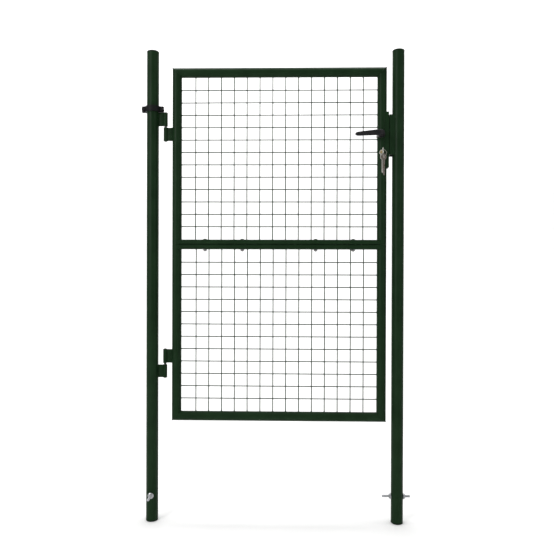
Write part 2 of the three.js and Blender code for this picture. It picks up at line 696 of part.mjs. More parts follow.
function lockChannel() {
  const web = block([FOREND_BACK, CHANNEL_FACE], [-CHANNEL_HALF, CHANNEL_HALF], CHANNEL_Z);
  const flanges = bothSides((side) => block(
    [CHANNEL_BACK, CHANNEL_FACE],
    ordered(side * (CHANNEL_HALF - CHANNEL_SHEET), side * CHANNEL_HALF),
    CHANNEL_Z,
  ));
  const window = block(
    [FOREND_BACK - 1, CHANNEL_FACE + 1],
    [-FOREND_HALF - GAP, FOREND_HALF + GAP],
    [FOREND_Z[0] - GAP, FOREND_Z[1] + GAP],
  );
  return cut(join(web, flanges), rightStileCutter, window);
}

function boltWindow(x, halfWidth, z, halfHeight, clearance) {
  return block(
    x,
    [-halfWidth - clearance, halfWidth + clearance],
    [z - halfHeight - clearance, z + halfHeight + clearance],
  );
}

function boltWindows(x, clearance) {
  return [
    boltWindow(x, LATCH_HALF_WIDTH, LATCH_Z, LATCH_HALF_HEIGHT, clearance),
    boltWindow(x, DEADBOLT_HALF_WIDTH, DEADBOLT_Z, DEADBOLT_HALF_HEIGHT, clearance),
  ];
}

const forend = cut(
  block([FOREND_BACK, CHANNEL_FACE], [-FOREND_HALF, FOREND_HALF], FOREND_Z),
  ...boltWindows([FOREND_BACK - 1, CHANNEL_FACE + 1], BOLT_CLEARANCE),
);

// The case is a shallow box, open on the side that the forend closes.
function lockCase() {
  const shell = block([CASE_LEFT, CASE_RIGHT], [-CASE_HALF, CASE_HALF], CASE_Z);
  const inside = block(
    [CASE_LEFT + CASE_WALL, CASE_RIGHT + 1],
    [-CASE_INSIDE, CASE_INSIDE],
    [CASE_Z[0] + CASE_WALL, CASE_Z[1] - CASE_WALL],
  );
  const camRoom = CAM_REACH + CAM_CLEARANCE;
  const camNotch = block(
    [CASE_LEFT - 1, CASE_LEFT + CASE_WALL + 1],
    [-CAM_HALF - CAM_CLEARANCE, CAM_HALF + CAM_CLEARANCE],
    [CYLINDER_Z - camRoom, CYLINDER_Z + camRoom],
  );
  return cut(shell, inside, camNotch, cylinderHole, spindleHole);
}

piece(lockGroup, 'lock_channel', lockChannel(), greenPaint);
piece(lockGroup, 'lock_forend', forend, darkSteel);
piece(lockGroup, 'lock_case', lockCase(), darkSteel);

// ---------- latch and deadbolt ----------
function latchBolt() {
  const back = CHANNEL_FACE - LATCH_TAIL;
  const tip = CHANNEL_FACE + LATCH_THROW;
  const half = LATCH_HALF_WIDTH;
  const outline = polygon([
    [back, -half],
    [tip, -half],
    [tip, -half + LATCH_NOSE],
    [CHANNEL_FACE + 1, half],
    [back, half],
  ]);
  return prism('z', outline, LATCH_Z - LATCH_HALF_HEIGHT, LATCH_Z + LATCH_HALF_HEIGHT);
}

const deadboltFace = CHANNEL_FACE - DEADBOLT_SETBACK;
const deadbolt = block(
  [deadboltFace - DEADBOLT_LENGTH, deadboltFace],
  [-DEADBOLT_HALF_WIDTH, DEADBOLT_HALF_WIDTH],
  [DEADBOLT_Z - DEADBOLT_HALF_HEIGHT, DEADBOLT_Z + DEADBOLT_HALF_HEIGHT],
);
piece(lockGroup, 'latch_bolt', latchBolt(), zinc);
piece(lockGroup, 'deadbolt', deadbolt, zinc);

// ---------- spindle, follower, roses, lever and back cap ----------
function squareBar(half, from, to) {
  return block(
    [LOCK_X - half, LOCK_X + half], ordered(from, to), [SPINDLE_Z - half, SPINDLE_Z + half],
  );
}

function follower() {
  const width = [-FOLLOWER_HALF, FOLLOWER_HALF];
  const hub = rod('y', FOLLOWER_RADIUS, LOCK_X, SPINDLE_Z, ...width, 20);
  const nose = block(
    [LOCK_X - FOLLOWER_NOSE_HALF, LOCK_X + FOLLOWER_NOSE_HALF],
    width,
    [SPINDLE_Z - FOLLOWER_NOSE, SPINDLE_Z],
  );
  return cut(join(hub, nose), squareBar(SPINDLE_HALF + GAP, -ROSE_FACE, ROSE_FACE));
}

function rose(side) {
  const plate = rod('y', ROSE_RADIUS, LOCK_X, SPINDLE_Z, ...ordered(0, side * ROSE_FACE), 24);
  const channelRoom = block(
    [CHANNEL_BACK - GAP, CHANNEL_FACE],
    ordered(0, side * (CHANNEL_HALF + GAP)),
    [SPINDLE_Z - 2 * ROSE_RADIUS, SPINDLE_Z + 2 * ROSE_RADIUS],
  );
  return cut(plate, rightStileCutter, channelRoom, spindleHole);
}

function leverOutline() {
  const rootX = LOCK_X - HUB_RADIUS;
  const tipX = LOCK_X - LEVER_LENGTH + LEVER_TIP_HALF;
  const tipZ = SPINDLE_Z - LEVER_TIP_DROP;
  const shape = new THREE.Shape();
  shape.moveTo(LOCK_X, SPINDLE_Z - LEVER_ROOT_HALF);
  shape.lineTo(LOCK_X, SPINDLE_Z + LEVER_ROOT_HALF);
  shape.lineTo(rootX, SPINDLE_Z + LEVER_ROOT_HALF);
  shape.lineTo(tipX, tipZ + LEVER_TIP_HALF);
  shape.absarc(tipX, tipZ, LEVER_TIP_HALF, Math.PI / 2, 1.5 * Math.PI);
  shape.lineTo(rootX, SPINDLE_Z - LEVER_ROOT_HALF);
  return shape;
}

function lever() {
  const arm = solid(prism(
    'y', leverOutline(), -LEVER_FACE, -LEVER_FACE + LEVER_THICK, 12,
  ));
  const hub = rod('y', HUB_RADIUS, LOCK_X, SPINDLE_Z, -LEVER_FACE, -ROSE_FACE - GAP, 24);
  const socket = squareBar(SPINDLE_HALF + GAP, SPINDLE_FRONT - GAP, 0);
  return cut(join(arm, hub), socket);
}

function spindleCap() {
  const button = rod(
    'y', SPINDLE_CAP_RADIUS, LOCK_X, SPINDLE_Z, ROSE_FACE + GAP, SPINDLE_CAP_FACE, 24,
  );
  return cut(button, squareBar(SPINDLE_HALF + GAP, 0, SPINDLE_BACK + GAP));
}

piece(lockGroup, 'lock_follower', follower(), darkSteel);
piece(lockGroup, 'spindle', squareBar(SPINDLE_HALF, SPINDLE_FRONT, SPINDLE_BACK), zinc);
piece(lockGroup, 'front_rose', rose(-1), blackPlastic);
piece(lockGroup, 'back_rose', rose(1), blackPlastic);
piece(lockGroup, 'front_lever', lever(), blackPlastic);
piece(lockGroup, 'back_spindle_cap', spindleCap(), blackPlastic);

// ---------- lock cylinder ----------
const reach = [-CYLINDER_REACH, CYLINDER_REACH];

function cylinderBody() {
  const body = solid(prism('y', cylinderOutline(0), ...reach));
  const bore = rod('y', PLUG_RADIUS + PIN_BORE_CLEARANCE, LOCK_X, CYLINDER_Z, ...through);
  const camSlot = block(
    [LOCK_X - 2 * CYLINDER_RADIUS, LOCK_X + 2 * CYLINDER_RADIUS],
    [-CAM_HALF - CAM_CLEARANCE, CAM_HALF + CAM_CLEARANCE],
    [CYLINDER_Z - CAM_REACH - CAM_CLEARANCE, CYLINDER_Z + 2 * CYLINDER_RADIUS],
  );
  return cut(body, bore, camSlot);
}

function cylinderPlug() {
  const proud = CYLINDER_REACH + PLUG_PROUD;
  const barrel = rod('y', PLUG_RADIUS, LOCK_X, CYLINDER_Z, -proud, proud);
  const cam = block(
    [LOCK_X - KEY_BLADE_HALF, LOCK_X + KEY_BLADE_HALF],
    [-CAM_HALF, CAM_HALF],
    [CYLINDER_Z - CAM_REACH + 1, CYLINDER_Z],
  );
  const slot = KEY_THICK / 2 + KEYWAY_CLEARANCE;
  const tall = KEY_BLADE_HALF + KEYWAY_CLEARANCE;
  const keyway = block(
    [LOCK_X - slot, LOCK_X + slot],
    [-proud - 1, -CYLINDER_REACH + KEY_BLADE_INSIDE + 1],
    [CYLINDER_Z - tall, CYLINDER_Z + tall],
  );
  return cut(join(barrel, cam), keyway);
}

piece(lockGroup, 'cylinder_body', cylinderBody(), nickel);
piece(lockGroup, 'cylinder_plug', cylinderPlug(), brass);

// ---------- keys ----------
function lockedKey() {
  const thick = [LOCK_X - KEY_THICK / 2, LOCK_X + KEY_THICK / 2];
  const neckEnd = -CYLINDER_REACH - KEY_NECK_LENGTH;
  const bowY = neckEnd - Math.sqrt(KEY_BOW_RADIUS ** 2 - KEY_NECK_HALF ** 2);
  const blade = block(
    thick,
    [bowY + KEY_BOW_HOLE + 1, -CYLINDER_REACH + KEY_BLADE_INSIDE],
    [CYLINDER_Z - KEY_BLADE_HALF, CYLINDER_Z + KEY_BLADE_HALF],
  );
  const bow = rod('x', KEY_BOW_RADIUS, bowY, CYLINDER_Z, ...thick, 24);
  const hole = rod('x', KEY_BOW_HOLE, bowY, CYLINDER_Z, thick[0] - 1, thick[1] + 1);
  return cut(join(blade, bow), hole);
}

function spareKey(drop) {
  const thick = [-KEY_THICK / 2, KEY_THICK / 2];
  const blade = block([-KEY_BLADE_HALF, KEY_BLADE_HALF], thick, [-drop, -KEY_BOW_HOLE - 1]);
  const bow = rod('y', KEY_BOW_RADIUS, 0, 0, ...thick, 24);
  const hole = rod('y', KEY_BOW_HOLE, 0, 0, thick[0] - 1, thick[1] + 1);
  return cut(join(blade, bow), hole);
}

const neckSweep = Math.hypot(KEY_NECK_HALF, KEY_THICK / 2);
const ringDrop = RING_RADIUS - RING_WIRE - neckSweep - 2 * GAP;
const ringX = LOCK_X + ringDrop * Math.sin(RING_LEAN);
const ringZ = CYLINDER_Z - ringDrop * Math.cos(RING_LEAN);
const ringShape = new THREE.TorusGeometry(RING_RADIUS, RING_WIRE, 6, 24);
ringShape.rotateX(Math.PI / 2);

piece(lockGroup, 'key_in_lock', lockedKey(), nickel);
piece(lockGroup, 'key_ring', solid(ringShape), nickel, [ringX, RING_Y, ringZ]);
SPARE_KEY_SPOTS.forEach((spot, index) => {
  const name = ['spare_key_short', 'spare_key_long'][index];
  const x = ringX + RING_RADIUS * Math.sin(spot);
  const z = ringZ - RING_RADIUS * Math.cos(spot) - SPARE_KEY_HANG;
  const key = piece(
    lockGroup, name, spareKey(SPARE_KEY_DROPS[index]), nickel, [x, RING_Y, z],
  );
  key.rotation.z = SPARE_KEY_TWIST;
});

// ---------- keep and stop on the lock post ----------
function keep() {
  const back = KEEP_FACE + KEEP_SHEET;
  const web = block([KEEP_FACE, back], [-CHANNEL_HALF, STOP_Y + KEEP_SHEET], KEEP_Z);
  const front = block([KEEP_FACE, POST_X], [-CHANNEL_HALF, -CHANNEL_HALF + KEEP_SHEET], KEEP_Z);
  const stop = block([CHANNEL_FACE - STOP_REACH, POST_X], [STOP_Y, STOP_Y + KEEP_SHEET], KEEP_Z);
  const windows = boltWindows([KEEP_FACE - 1, back + 1], 2 * BOLT_CLEARANCE);
  return cut(join(web, front, stop), postCutter(POST_X), ...windows);
}
piece(postsGroup, 'keep', keep(), greenPaint);

export default gate;
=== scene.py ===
"""Looks of a single garden gate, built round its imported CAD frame. Metres, +Z up."""
import math
import random

import bmesh
import bpy
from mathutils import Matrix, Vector


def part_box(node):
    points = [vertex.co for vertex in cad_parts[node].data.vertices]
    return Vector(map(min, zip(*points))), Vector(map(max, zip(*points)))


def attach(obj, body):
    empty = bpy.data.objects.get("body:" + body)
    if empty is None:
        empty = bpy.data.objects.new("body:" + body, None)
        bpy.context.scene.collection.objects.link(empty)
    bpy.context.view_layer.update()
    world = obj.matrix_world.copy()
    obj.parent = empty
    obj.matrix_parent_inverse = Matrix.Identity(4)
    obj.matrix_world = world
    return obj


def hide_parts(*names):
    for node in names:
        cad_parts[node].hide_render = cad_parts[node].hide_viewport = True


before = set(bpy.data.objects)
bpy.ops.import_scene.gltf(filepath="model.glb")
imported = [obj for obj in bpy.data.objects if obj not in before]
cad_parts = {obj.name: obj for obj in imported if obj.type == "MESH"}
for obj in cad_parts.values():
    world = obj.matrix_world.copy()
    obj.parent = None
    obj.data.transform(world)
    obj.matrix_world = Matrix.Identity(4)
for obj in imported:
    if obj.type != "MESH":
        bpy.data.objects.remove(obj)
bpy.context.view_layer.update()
rng = random.Random(7)

MM = 0.001
TAU = 2 * math.pi
MIX_COLOUR_A, MIX_COLOUR_B, MIX_COLOUR_OUT = 6, 7, 2  # the Mix node's colour sockets


# ---------- mesh helpers ----------
def finish_mesh(name, bm, material, body, stands_for=(), sharp=35):
    """Turns a bmesh into a piece that rides on a body."""
    bmesh.ops.recalc_face_normals(bm, faces=bm.faces)
    mesh = bpy.data.meshes.new(name)
    bm.to_mesh(mesh)
    bm.free()
    mesh.shade_smooth()
    mesh.set_sharp_from_angle(angle=math.radians(sharp))
    piece = bpy.data.objects.new(name, mesh)
    bpy.context.scene.collection.objects.link(piece)
    piece.data.materials.append(material)
    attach(piece, body)
    if stands_for:
        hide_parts(*stands_for)
    return piece


def place(axis, across, up, along):
    """A point from its two cross coordinates and the one along the axis, keeping the handedness."""
    if axis == "z":
        return Vector((across, up, along))
    if axis == "x":
        return Vector((along, across, up))
    return Vector((up, along, across))


def value(number, angle):
    """A plain number, or what a function of the angle gives."""
    return number(angle) if callable(number) else number


def skin(bm, rings, closed=False):
    """Adds the faces between neighbouring rings of points. A ring may be a single point."""
    pairs = list(zip(rings, rings[1:]))
    if closed:
        pairs.append((rings[-1], rings[0]))
    for low, high in pairs:
        count = max(len(low), len(high))
        for step in range(count):
            after = (step + 1) % count
            if len(low) == 1:
                bm.faces.new((low[0], high[after], high[step]))
            elif len(high) == 1:
                bm.faces.new((low[step], low[after], high[0]))
            else:
                bm.faces.new((low[step], low[after], high[after], high[step]))


def turned(bm, rows, axis="z", at=(0, 0, 0), segments=48, closed=False):
    """Adds a lathe-like body from rows of (radius, place along the axis).

    Either value in a row may be a function of the angle.
    """
    at = Vector(at)
    rings = []
    for radius, along in rows:
        if radius == 0:
            rings.append([bm.verts.new(at + place(axis, 0, 0, value(along, 0)))])
            continue
        ring = []
        for step in range(segments):
            angle = TAU * step / segments
            r = value(radius, angle)
            point = place(axis, r * math.cos(angle), r * math.sin(angle), value(along, angle))
            ring.append(bm.verts.new(at + point))
        rings.append(ring)
    skin(bm, rings, closed)
    return bm


def swept(bm, points, radii, sides=8, closed=False):
    """Adds a tube along points. The radius is one number, or a list with one for each point."""
    points = [Vector(p) for p in points]
    count = len(points)
    tangents = []
    for index in range(count):
        before = points[index - 1] if (index or closed) else points[0]
        after = points[(index + 1) % count] if (index < count - 1 or closed) else points[-1]
        tangents.append((after - before).normalized())
    normal = tangents[0].orthogonal().normalized()
    rings = []
    for index, (point, tangent) in enumerate(zip(points, tangents)):
        normal = (normal - tangent * normal.dot(tangent)).normalized()
        side = tangent.cross(normal)
        radius = radii[index] if isinstance(radii, (list, tuple)) else radii
        ring = []
        for step in range(sides):
            angle = TAU * step / sides
            offset = normal * math.cos(angle) + side * math.sin(angle)
            ring.append(bm.verts.new(point + offset * radius))
        rings.append(ring)
    skin(bm, rings, closed)
    if not closed:
        bm.faces.new(list(reversed(rings[0])))
        bm.faces.new(rings[-1])
    return bm


def rectangle(left, right, bottom, top):
    return [(left, bottom), (right, bottom), (right, top), (left, top)]


def slab(bm, outline, axis, low, high, bevel=0.0, segments=2):
    """Adds an outline pushed along an axis, with its long edges rounded."""
    def corner(u, v, along):
        if axis == "y":
            return Vector((u, along, v))
        if axis == "x":
            return Vector((along, u, v))
        return Vector((u, v, along))

    bottom = [bm.verts.new(corner(u, v, low)) for u, v in outline]
    top = [bm.verts.new(corner(u, v, high)) for u, v in outline]
    faces = [bm.faces.new(list(reversed(bottom))), bm.faces.new(top)]
    count = len(outline)
    for step in range(count):
        after = (step + 1) % count
        faces.append(bm.faces.new((bottom[step], bottom[after], top[after], top[step])))
    if bevel:
        rim = list({edge for face in faces[:2] for edge in face.edges})
        bmesh.ops.bevel(
            bm, geom=rim, offset=bevel, segments=segments, affect="EDGES", profile=0.6,
        )
    return bm


def refined(node, material, body, bevel, segments=3, angle=28):
    """A finer copy of a CAD node: its flat faces joined up and its edges rounded."""
    bm = bmesh.new()
    bm.from_mesh(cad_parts[node].data)
    bmesh.ops.remove_doubles(bm, verts=bm.verts, dist=2e-6)
    bmesh.ops.dissolve_limit(
        bm, angle_limit=math.radians(1), verts=bm.verts, edges=bm.edges,
    )
    piece = finish_mesh(f"fine_{node}", bm, material, body, [node])
    modifier = piece.modifiers.new("edges", "BEVEL")
    modifier.width = bevel
    modifier.segments = segments
    modifier.limit_method = "ANGLE"
    modifier.angle_limit = math.radians(angle)
    modifier.harden_normals = True
    return piece


def centre(node):
    low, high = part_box(node)
    return (low + high) / 2


def size(node):
    low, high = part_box(node)
    return high - low


# ---------- material helpers ----------
def new_material(name):
    material = bpy.data.materials.new(name)
    material.use_nodes = True
    nodes = material.node_tree.nodes
    return material, nodes, material.node_tree.links, nodes["Principled BSDF"]


def noise(nodes, links, coords, scale, detail=4.0, rough=0.55):
    texture = nodes.new("ShaderNodeTexNoise")
    texture.inputs["Scale"].default_value = scale
    texture.inputs["Detail"].default_value = detail
    texture.inputs["Roughness"].default_value = rough
    links.new(coords, texture.inputs["Vector"])
    return texture.outputs["Fac"]


def remap(nodes, links, source, low, high, from_low=0.0, from_high=1.0):
    node = nodes.new("ShaderNodeMapRange")
    node.inputs["From Min"].default_value = from_low
    node.inputs["From Max"].default_value = from_high
    node.inputs["To Min"].default_value = low
    node.inputs["To Max"].default_value = high
    links.new(source, node.inputs["Value"])
    return node.outputs["Result"]


def blend_colour(nodes, links, factor, first, second):
    mix = nodes.new("ShaderNodeMix")
    mix.data_type = "RGBA"
    links.new(factor, mix.inputs[0])
    for socket, colour in ((MIX_COLOUR_A, first), (MIX_COLOUR_B, second)):
        if isinstance(colour, tuple):
            mix.inputs[socket].default_value = (*colour, 1.0)
            continue
        links.new(colour, mix.inputs[socket])
    return mix.outputs[MIX_COLOUR_OUT]


def bump(nodes, links, shader, heights):
    """Chains bump layers: each height is (source, strength, distance)."""
    normal = None
    for source, strength, distance in heights:
        node = nodes.new("ShaderNodeBump")
        node.inputs["Strength"].default_value = strength
        node.inputs["Distance"].default_value = distance
        links.new(source, node.inputs["Height"])
        if normal is not None:
            links.new(normal, node.inputs["Normal"])
        normal = node.outputs["Normal"]
    links.new(normal, shader.inputs["Normal"])


def painted(name, deep, light, dust, roughness, peel):
    """Powder coat: orange-peel skin, cloudy tone, and dust where faces look up."""
    material, nodes, links, shader = new_material(name)
    coords = nodes.new("ShaderNodeTexCoord").outputs["Object"]
    cloud = remap(nodes, links, noise(nodes, links, coords, 14.0, 5.0), 0.0, 1.0, 0.3, 0.7)
    tone = blend_colour(nodes, links, cloud, deep, light)
    geometry = nodes.new("ShaderNodeNewGeometry")
    split = nodes.new("ShaderNodeSeparateXYZ")
    links.new(geometry.outputs["Normal"], split.inputs["Vector"])
    upward = remap(nodes, links, split.outputs["Z"], 0.0, 1.0, 0.35, 1.0)
    speck = remap(nodes, links, noise(nodes, links, coords, 160.0, 6.0, 0.7), 0.0, 1.0, 0.42, 0.75)
    dusty = nodes.new("ShaderNodeMath")
    dusty.operation = "MULTIPLY"
    links.new(upward, dusty.inputs[0])
    links.new(speck, dusty.inputs[1])
    soft = remap(nodes, links, dusty.outputs["Value"], 0.0, 0.32)
    colour = blend_colour(nodes, links, soft, tone, dust)
    links.new(colour, shader.inputs["Base Color"])
    streak = noise(nodes, links, coords, 45.0, 4.0)
    links.new(
        remap(nodes, links, streak, roughness - 0.06, roughness + 0.1, 0.3, 0.75),
        shader.inputs["Roughness"],
    )
    shader.inputs["Specular IOR Level"].default_value = 0.07
    skin = noise(nodes, links, coords, 520.0, 2.0, 0.4)
    grain = noise(nodes, links, coords, 2600.0, 2.0)
    bump(nodes, links, shader, [(skin, peel, 0.0006), (grain, peel * 0.5, 0.00015)])
    return material


def plastic(name, deep, light, roughness, wear):
    """Moulded plastic: fine spark-eroded grain, slight clouding and rubbed patches."""
    material, nodes, links, shader = new_material(name)
    coords = nodes.new("ShaderNodeTexCoord").outputs["Object"]
    cloud = remap(nodes, links, noise(nodes, links, coords, 60.0, 5.0), 0.0, 1.0, 0.35, 0.7)
    links.new(blend_colour(nodes, links, cloud, deep, light), shader.inputs["Base Color"])
    rubbed = noise(nodes, links, coords, 30.0, 3.0)
    links.new(
        remap(nodes, links, rubbed, roughness, roughness - wear, 0.4, 0.65),
        shader.inputs["Roughness"],
    )
    grain = noise(nodes, links, coords, 3200.0, 3.0, 0.6)
    wave = noise(nodes, links, coords, 240.0, 2.0)
    shader.inputs["Specular IOR Level"].default_value = 0.16
    bump(nodes, links, shader, [(wave, 0.08, 0.0004), (grain, 0.22, 0.00012)])
    return material


def metal(name, clean, stained, roughness, stain_amount, brush=(1.0, 1.0, 1.0), grain=900.0):
    """Bare or plated metal: brush marks, blotchy tarnish and fine scratches."""
    material, nodes, links, shader = new_material(name)
    coords = nodes.new("ShaderNodeTexCoord").outputs["Object"]
    blotch = noise(nodes, links, coords, 75.0, 6.0, 0.65)
    stain = remap(nodes, links, blotch, 0.0, stain_amount, 0.45, 0.75)
    colour = blend_colour(nodes, links, stain, clean, stained)
    links.new(colour, shader.inputs["Base Color"])
    shader.inputs["Metallic"].default_value = 1.0
    stretch = nodes.new("ShaderNodeVectorMath")
    stretch.operation = "MULTIPLY"
    stretch.inputs[1].default_value = brush
    links.new(coords, stretch.inputs[0])
    marks = noise(nodes, links, stretch.outputs["Vector"], grain, 4.0, 0.7)
    links.new(
        remap(nodes, links, marks, roughness - 0.08, roughness + 0.14, 0.3, 0.7),
        shader.inputs["Roughness"],
    )
    bump(nodes, links, shader, [(marks, 0.18, 0.0001), (blotch, 0.08, 0.0003)])
    return material


GREEN_DUST = (0.02, 0.032, 0.019)
GREEN = painted(
    "green_powder_coat", (0.0046, 0.0168, 0.0052), (0.0076, 0.0235, 0.0082), GREEN_DUST, 0.36, 0.16,
)
WELD = painted(
    "green_weld", (0.0042, 0.0155, 0.0048), (0.007, 0.0215, 0.0075), GREEN_DUST, 0.42, 0.35,
)
CAP = plastic("green_cap_plastic", (0.0028, 0.0085, 0.0033), (0.0048, 0.0135, 0.0056), 0.5, 0.08)
BLACK = plastic("black_handle_plastic", (0.0065, 0.0065, 0.0078), (0.013, 0.0125, 0.0135), 0.42, 0.12)
CLAMP = painted(
    "black_clamp_paint", (0.0065, 0.0068, 0.0075), (0.0115, 0.0115, 0.012),
    (0.02, 0.019, 0.017), 0.46, 0.22,
)
ZINC = metal("zinc_plate", (0.40, 0.41, 0.43), (0.24, 0.235, 0.21), 0.3, 0.5, (1, 1, 0.15), 500.0)
STEEL = metal("plain_steel", (0.30, 0.30, 0.305), (0.12, 0.09, 0.065), 0.38, 0.55)
OILED = metal("oiled_steel", (0.07, 0.07, 0.068), (0.03, 0.024, 0.018), 0.42, 0.6)
NICKEL = metal("nickel_plate", (0.56, 0.545, 0.50), (0.36, 0.33, 0.27), 0.26, 0.45)
DARK_KEY = metal("dark_key_steel", (0.20, 0.185, 0.17), (0.13, 0.075, 0.04), 0.4, 0.7)
BRASS = metal("turned_brass", (0.62, 0.46, 0.19), (0.30, 0.2, 0.09), 0.3, 0.5)


# ---------- places and sizes, read from the frame where it shows them ----------
STILE_X = (centre("lower_left_stile").x, centre("lower_right_stile").x)
TUBE_R = size("upper_top_tube").z / 2
TUBE_WALL = 1.5 * MM
POST_R = size("left_post").x / 2
POST_WALL = 2 * MM
CAP_SKIRT_R = POST_R - 2.3 * MM  # the part of a cap that goes into the post
TOP_Z = centre("upper_top_tube").z
BOTTOM_Z = centre("lower_bottom_tube").z
PIN = centre("upper_hinge_pin")
PIN_R = size("upper_hinge_pin").x / 2
SPINDLE = centre("spindle")
PLUG_R = size("cylinder_plug").x / 2
SPINDLE_HOLE_R = 7 * MM
CYLINDER_R = 8.5 * MM
CYLINDER_TAIL_HALF = 5 * MM
CYL = Vector((centre("cylinder_body").x, 0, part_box("cylinder_body")[1].z - CYLINDER_R))
CASE_SLOT_HALF = 8.6 * MM
KEY_HALF = 4 * MM
KEY_HOLE_R = 5.2 * MM
M8_R, M8_PITCH, M8_ACROSS, M8_BORE = 4 * MM, 1.25 * MM, 13 * MM, 4.1 * MM
M10_R, M10_PITCH, M10_ACROSS, M10_BORE = 5 * MM, 1.5 * MM, 17 * MM, 5.05 * MM


def hexed(across, limit=None):
    """Radius of a hexagon by angle, kept under a limit where the corners are turned down."""
    def radius(angle):
        corner = (across / 2) / math.cos((angle % (math.pi / 3)) - math.pi / 6)
        return min(corner, limit) if limit else corner
    return radius


def arc(cu, cv, radius, start, end, steps):
    """Points of an arc, with its angles in degrees."""
    return [
        (
            cu + radius * math.cos(math.radians(start + (end - start) * k / steps)),
            cv + radius * math.sin(math.radians(start + (end - start) * k / steps)),
        )
        for k in range(steps + 1)
    ]


def carve(piece, *cutters):
    """Cuts shapes out of a piece and keeps the result as its mesh."""
    for cutter in cutters:
        modifier = piece.modifiers.new("cut", "BOOLEAN")
        modifier.object = cutter
        modifier.operation = "DIFFERENCE"
        modifier.solver = "EXACT"
    bpy.context.view_layer.update()
    evaluated = piece.evaluated_get(bpy.context.evaluated_depsgraph_get())
    mesh = bpy.data.meshes.new_from_object(evaluated)
    piece.modifiers.clear()
    piece.data = mesh
    for cutter in cutters:
        bpy.data.objects.remove(cutter)
    mesh.set_sharp_from_angle(angle=math.radians(35))
    return piece


def cutter(make):
    """A loose closed shape for carve()."""
    bm = bmesh.new()
    make(bm)
    bmesh.ops.recalc_face_normals(bm, faces=bm.faces)
    mesh = bpy.data.meshes.new("cutter")
    bm.to_mesh(mesh)
    bm.free()
    shape = bpy.data.objects.new("cutter", mesh)
    bpy.context.scene.collection.objects.link(shape)
    return shape


def hole_cutter(axis, at, radius, reach=0.01, segments=40):
    return cutter(lambda bm: turned(
        bm, [(0, -reach), (radius, -reach), (radius, reach), (0, reach)], axis, at, segments,
    ))


def thread_rows(radius, pitch, start, end, depth=0.55 * MM, per_turn=6):
    """Rows of a helical thread for turned()."""
    count = max(2, round(abs(end - start) / pitch * per_turn))

    def row(along):
        def at_angle(angle):
            phase = (along / pitch - angle / TAU) % 1.0
            return radius - depth * abs(2 * phase - 1) ** 0.8
        return at_angle

    return [
        (row(start + (end - start) * k / count), start + (end - start) * k / count)
        for k in range(count + 1)
    ]


def bead(bm, points, radius, closed=False, ripple=2.2 * MM, sides=8):
    """Adds a weld bead: a run of overlapping ripples along points."""
    points = [Vector(p) for p in points]
    radii, run = [], 0.0
    for index, point in enumerate(points):
        if index:
            run += (point - points[index - 1]).length
        wave = 0.5 + 0.5 * math.sin(TAU * run / ripple)
        radii.append(radius * (0.82 + 0.2 * wave + 0.08 * (rng.random() - 0.5)))
    return swept(bm, points, radii, sides, closed)


def line(start, end, steps):
    start, end = Vector(start), Vector(end)
    return [start.lerp(end, k / steps) for k in range(steps + 1)]


# ---------- posts and their caps ----------
def make_post(side):
    low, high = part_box(f"{side}_post")
    x = (low.x + high.x) / 2
    edge = 0.4 * MM
    bore = POST_R - POST_WALL
    bm = bmesh.new()
    turned(bm, [
        (POST_R - edge, low.z), (POST_R, low.z + edge), (POST_R, high.z - edge),
        (POST_R - edge, high.z), (bore, high.z), (bore, low.z),
    ], at=(x, 0, 0), segments=72, closed=True)
    finish_mesh(f"{side}_post_tube", bm, GREEN, "posts", [f"{side}_post"])


def make_top_cap(side):
    node = f"{side}_post_top_cap"
    low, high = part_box(node)
    radius = (high.x - low.x) / 2
    seat = high.z - 7 * MM
    rim = seat + 2.5 * MM
    dome = [
        (radius * math.cos(a) ** 0.75, rim + (high.z - rim) * math.sin(a) ** 0.9)
        for a in (math.radians(4 + 8.5 * k) for k in range(10))
    ]
    bm = bmesh.new()
    turned(bm, [
        (0, low.z + 1 * MM), (CAP_SKIRT_R - 2 * MM, low.z + 1 * MM),
        (CAP_SKIRT_R - 1.2 * MM, low.z), (CAP_SKIRT_R, low.z + 2 * MM), (CAP_SKIRT_R, seat),
        (radius - 0.5 * MM, seat),
        (radius, seat + 0.5 * MM), (radius, rim - 0.4 * MM), *dome, (0, high.z),
    ], at=((low.x + high.x) / 2, 0, 0), segments=72)
    finish_mesh(f"{node}_moulding", bm, CAP, "posts", [node])


def make_foot_cap(side):
    node = f"{side}_post_foot_cap"
    low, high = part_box(node)
    radius = (high.x - low.x) / 2
    seat = low.z + 5 * MM
    bend = 3 * MM
    edge = arc(radius - bend, low.z + bend, bend, -90, 0, 8)
    bm = bmesh.new()
    turned(bm, [
        (0, low.z), *edge, (radius, seat - 0.4 * MM), (radius - 0.4 * MM, seat),
        (CAP_SKIRT_R, seat), (CAP_SKIRT_R, high.z - 1 * MM), (CAP_SKIRT_R - 1 * MM, high.z),
        (0, high.z),
    ], at=((low.x + high.x) / 2, 0, 0), segments=72)
    finish_mesh(f"{node}_moulding", bm, CAP, "posts", [node])


for post_side in ("left", "right"):
    make_post(post_side)
    make_top_cap(post_side)
    make_foot_cap(post_side)


# ---------- leaf frame ----------
def make_frame_tube(node, axis, at, ends, leans):
    """A mitred tube. Each lean is how its end runs on with the cross coordinate."""
    wave = math.sin if axis == "x" else math.cos

    def end(base, lean, radius):
        return lambda angle: base + lean * radius * wave(angle)

    bore = TUBE_R - TUBE_WALL
    bm = bmesh.new()
    turned(bm, [
        (TUBE_R, end(ends[0], leans[0], TUBE_R)), (TUBE_R, end(ends[1], leans[1], TUBE_R)),
        (bore, end(ends[1], leans[1], bore)), (bore, end(ends[0], leans[0], bore)),
    ], axis, at, segments=64, closed=True)
    return finish_mesh(f"{node}_bend_free", bm, GREEN, "leaf", [node])


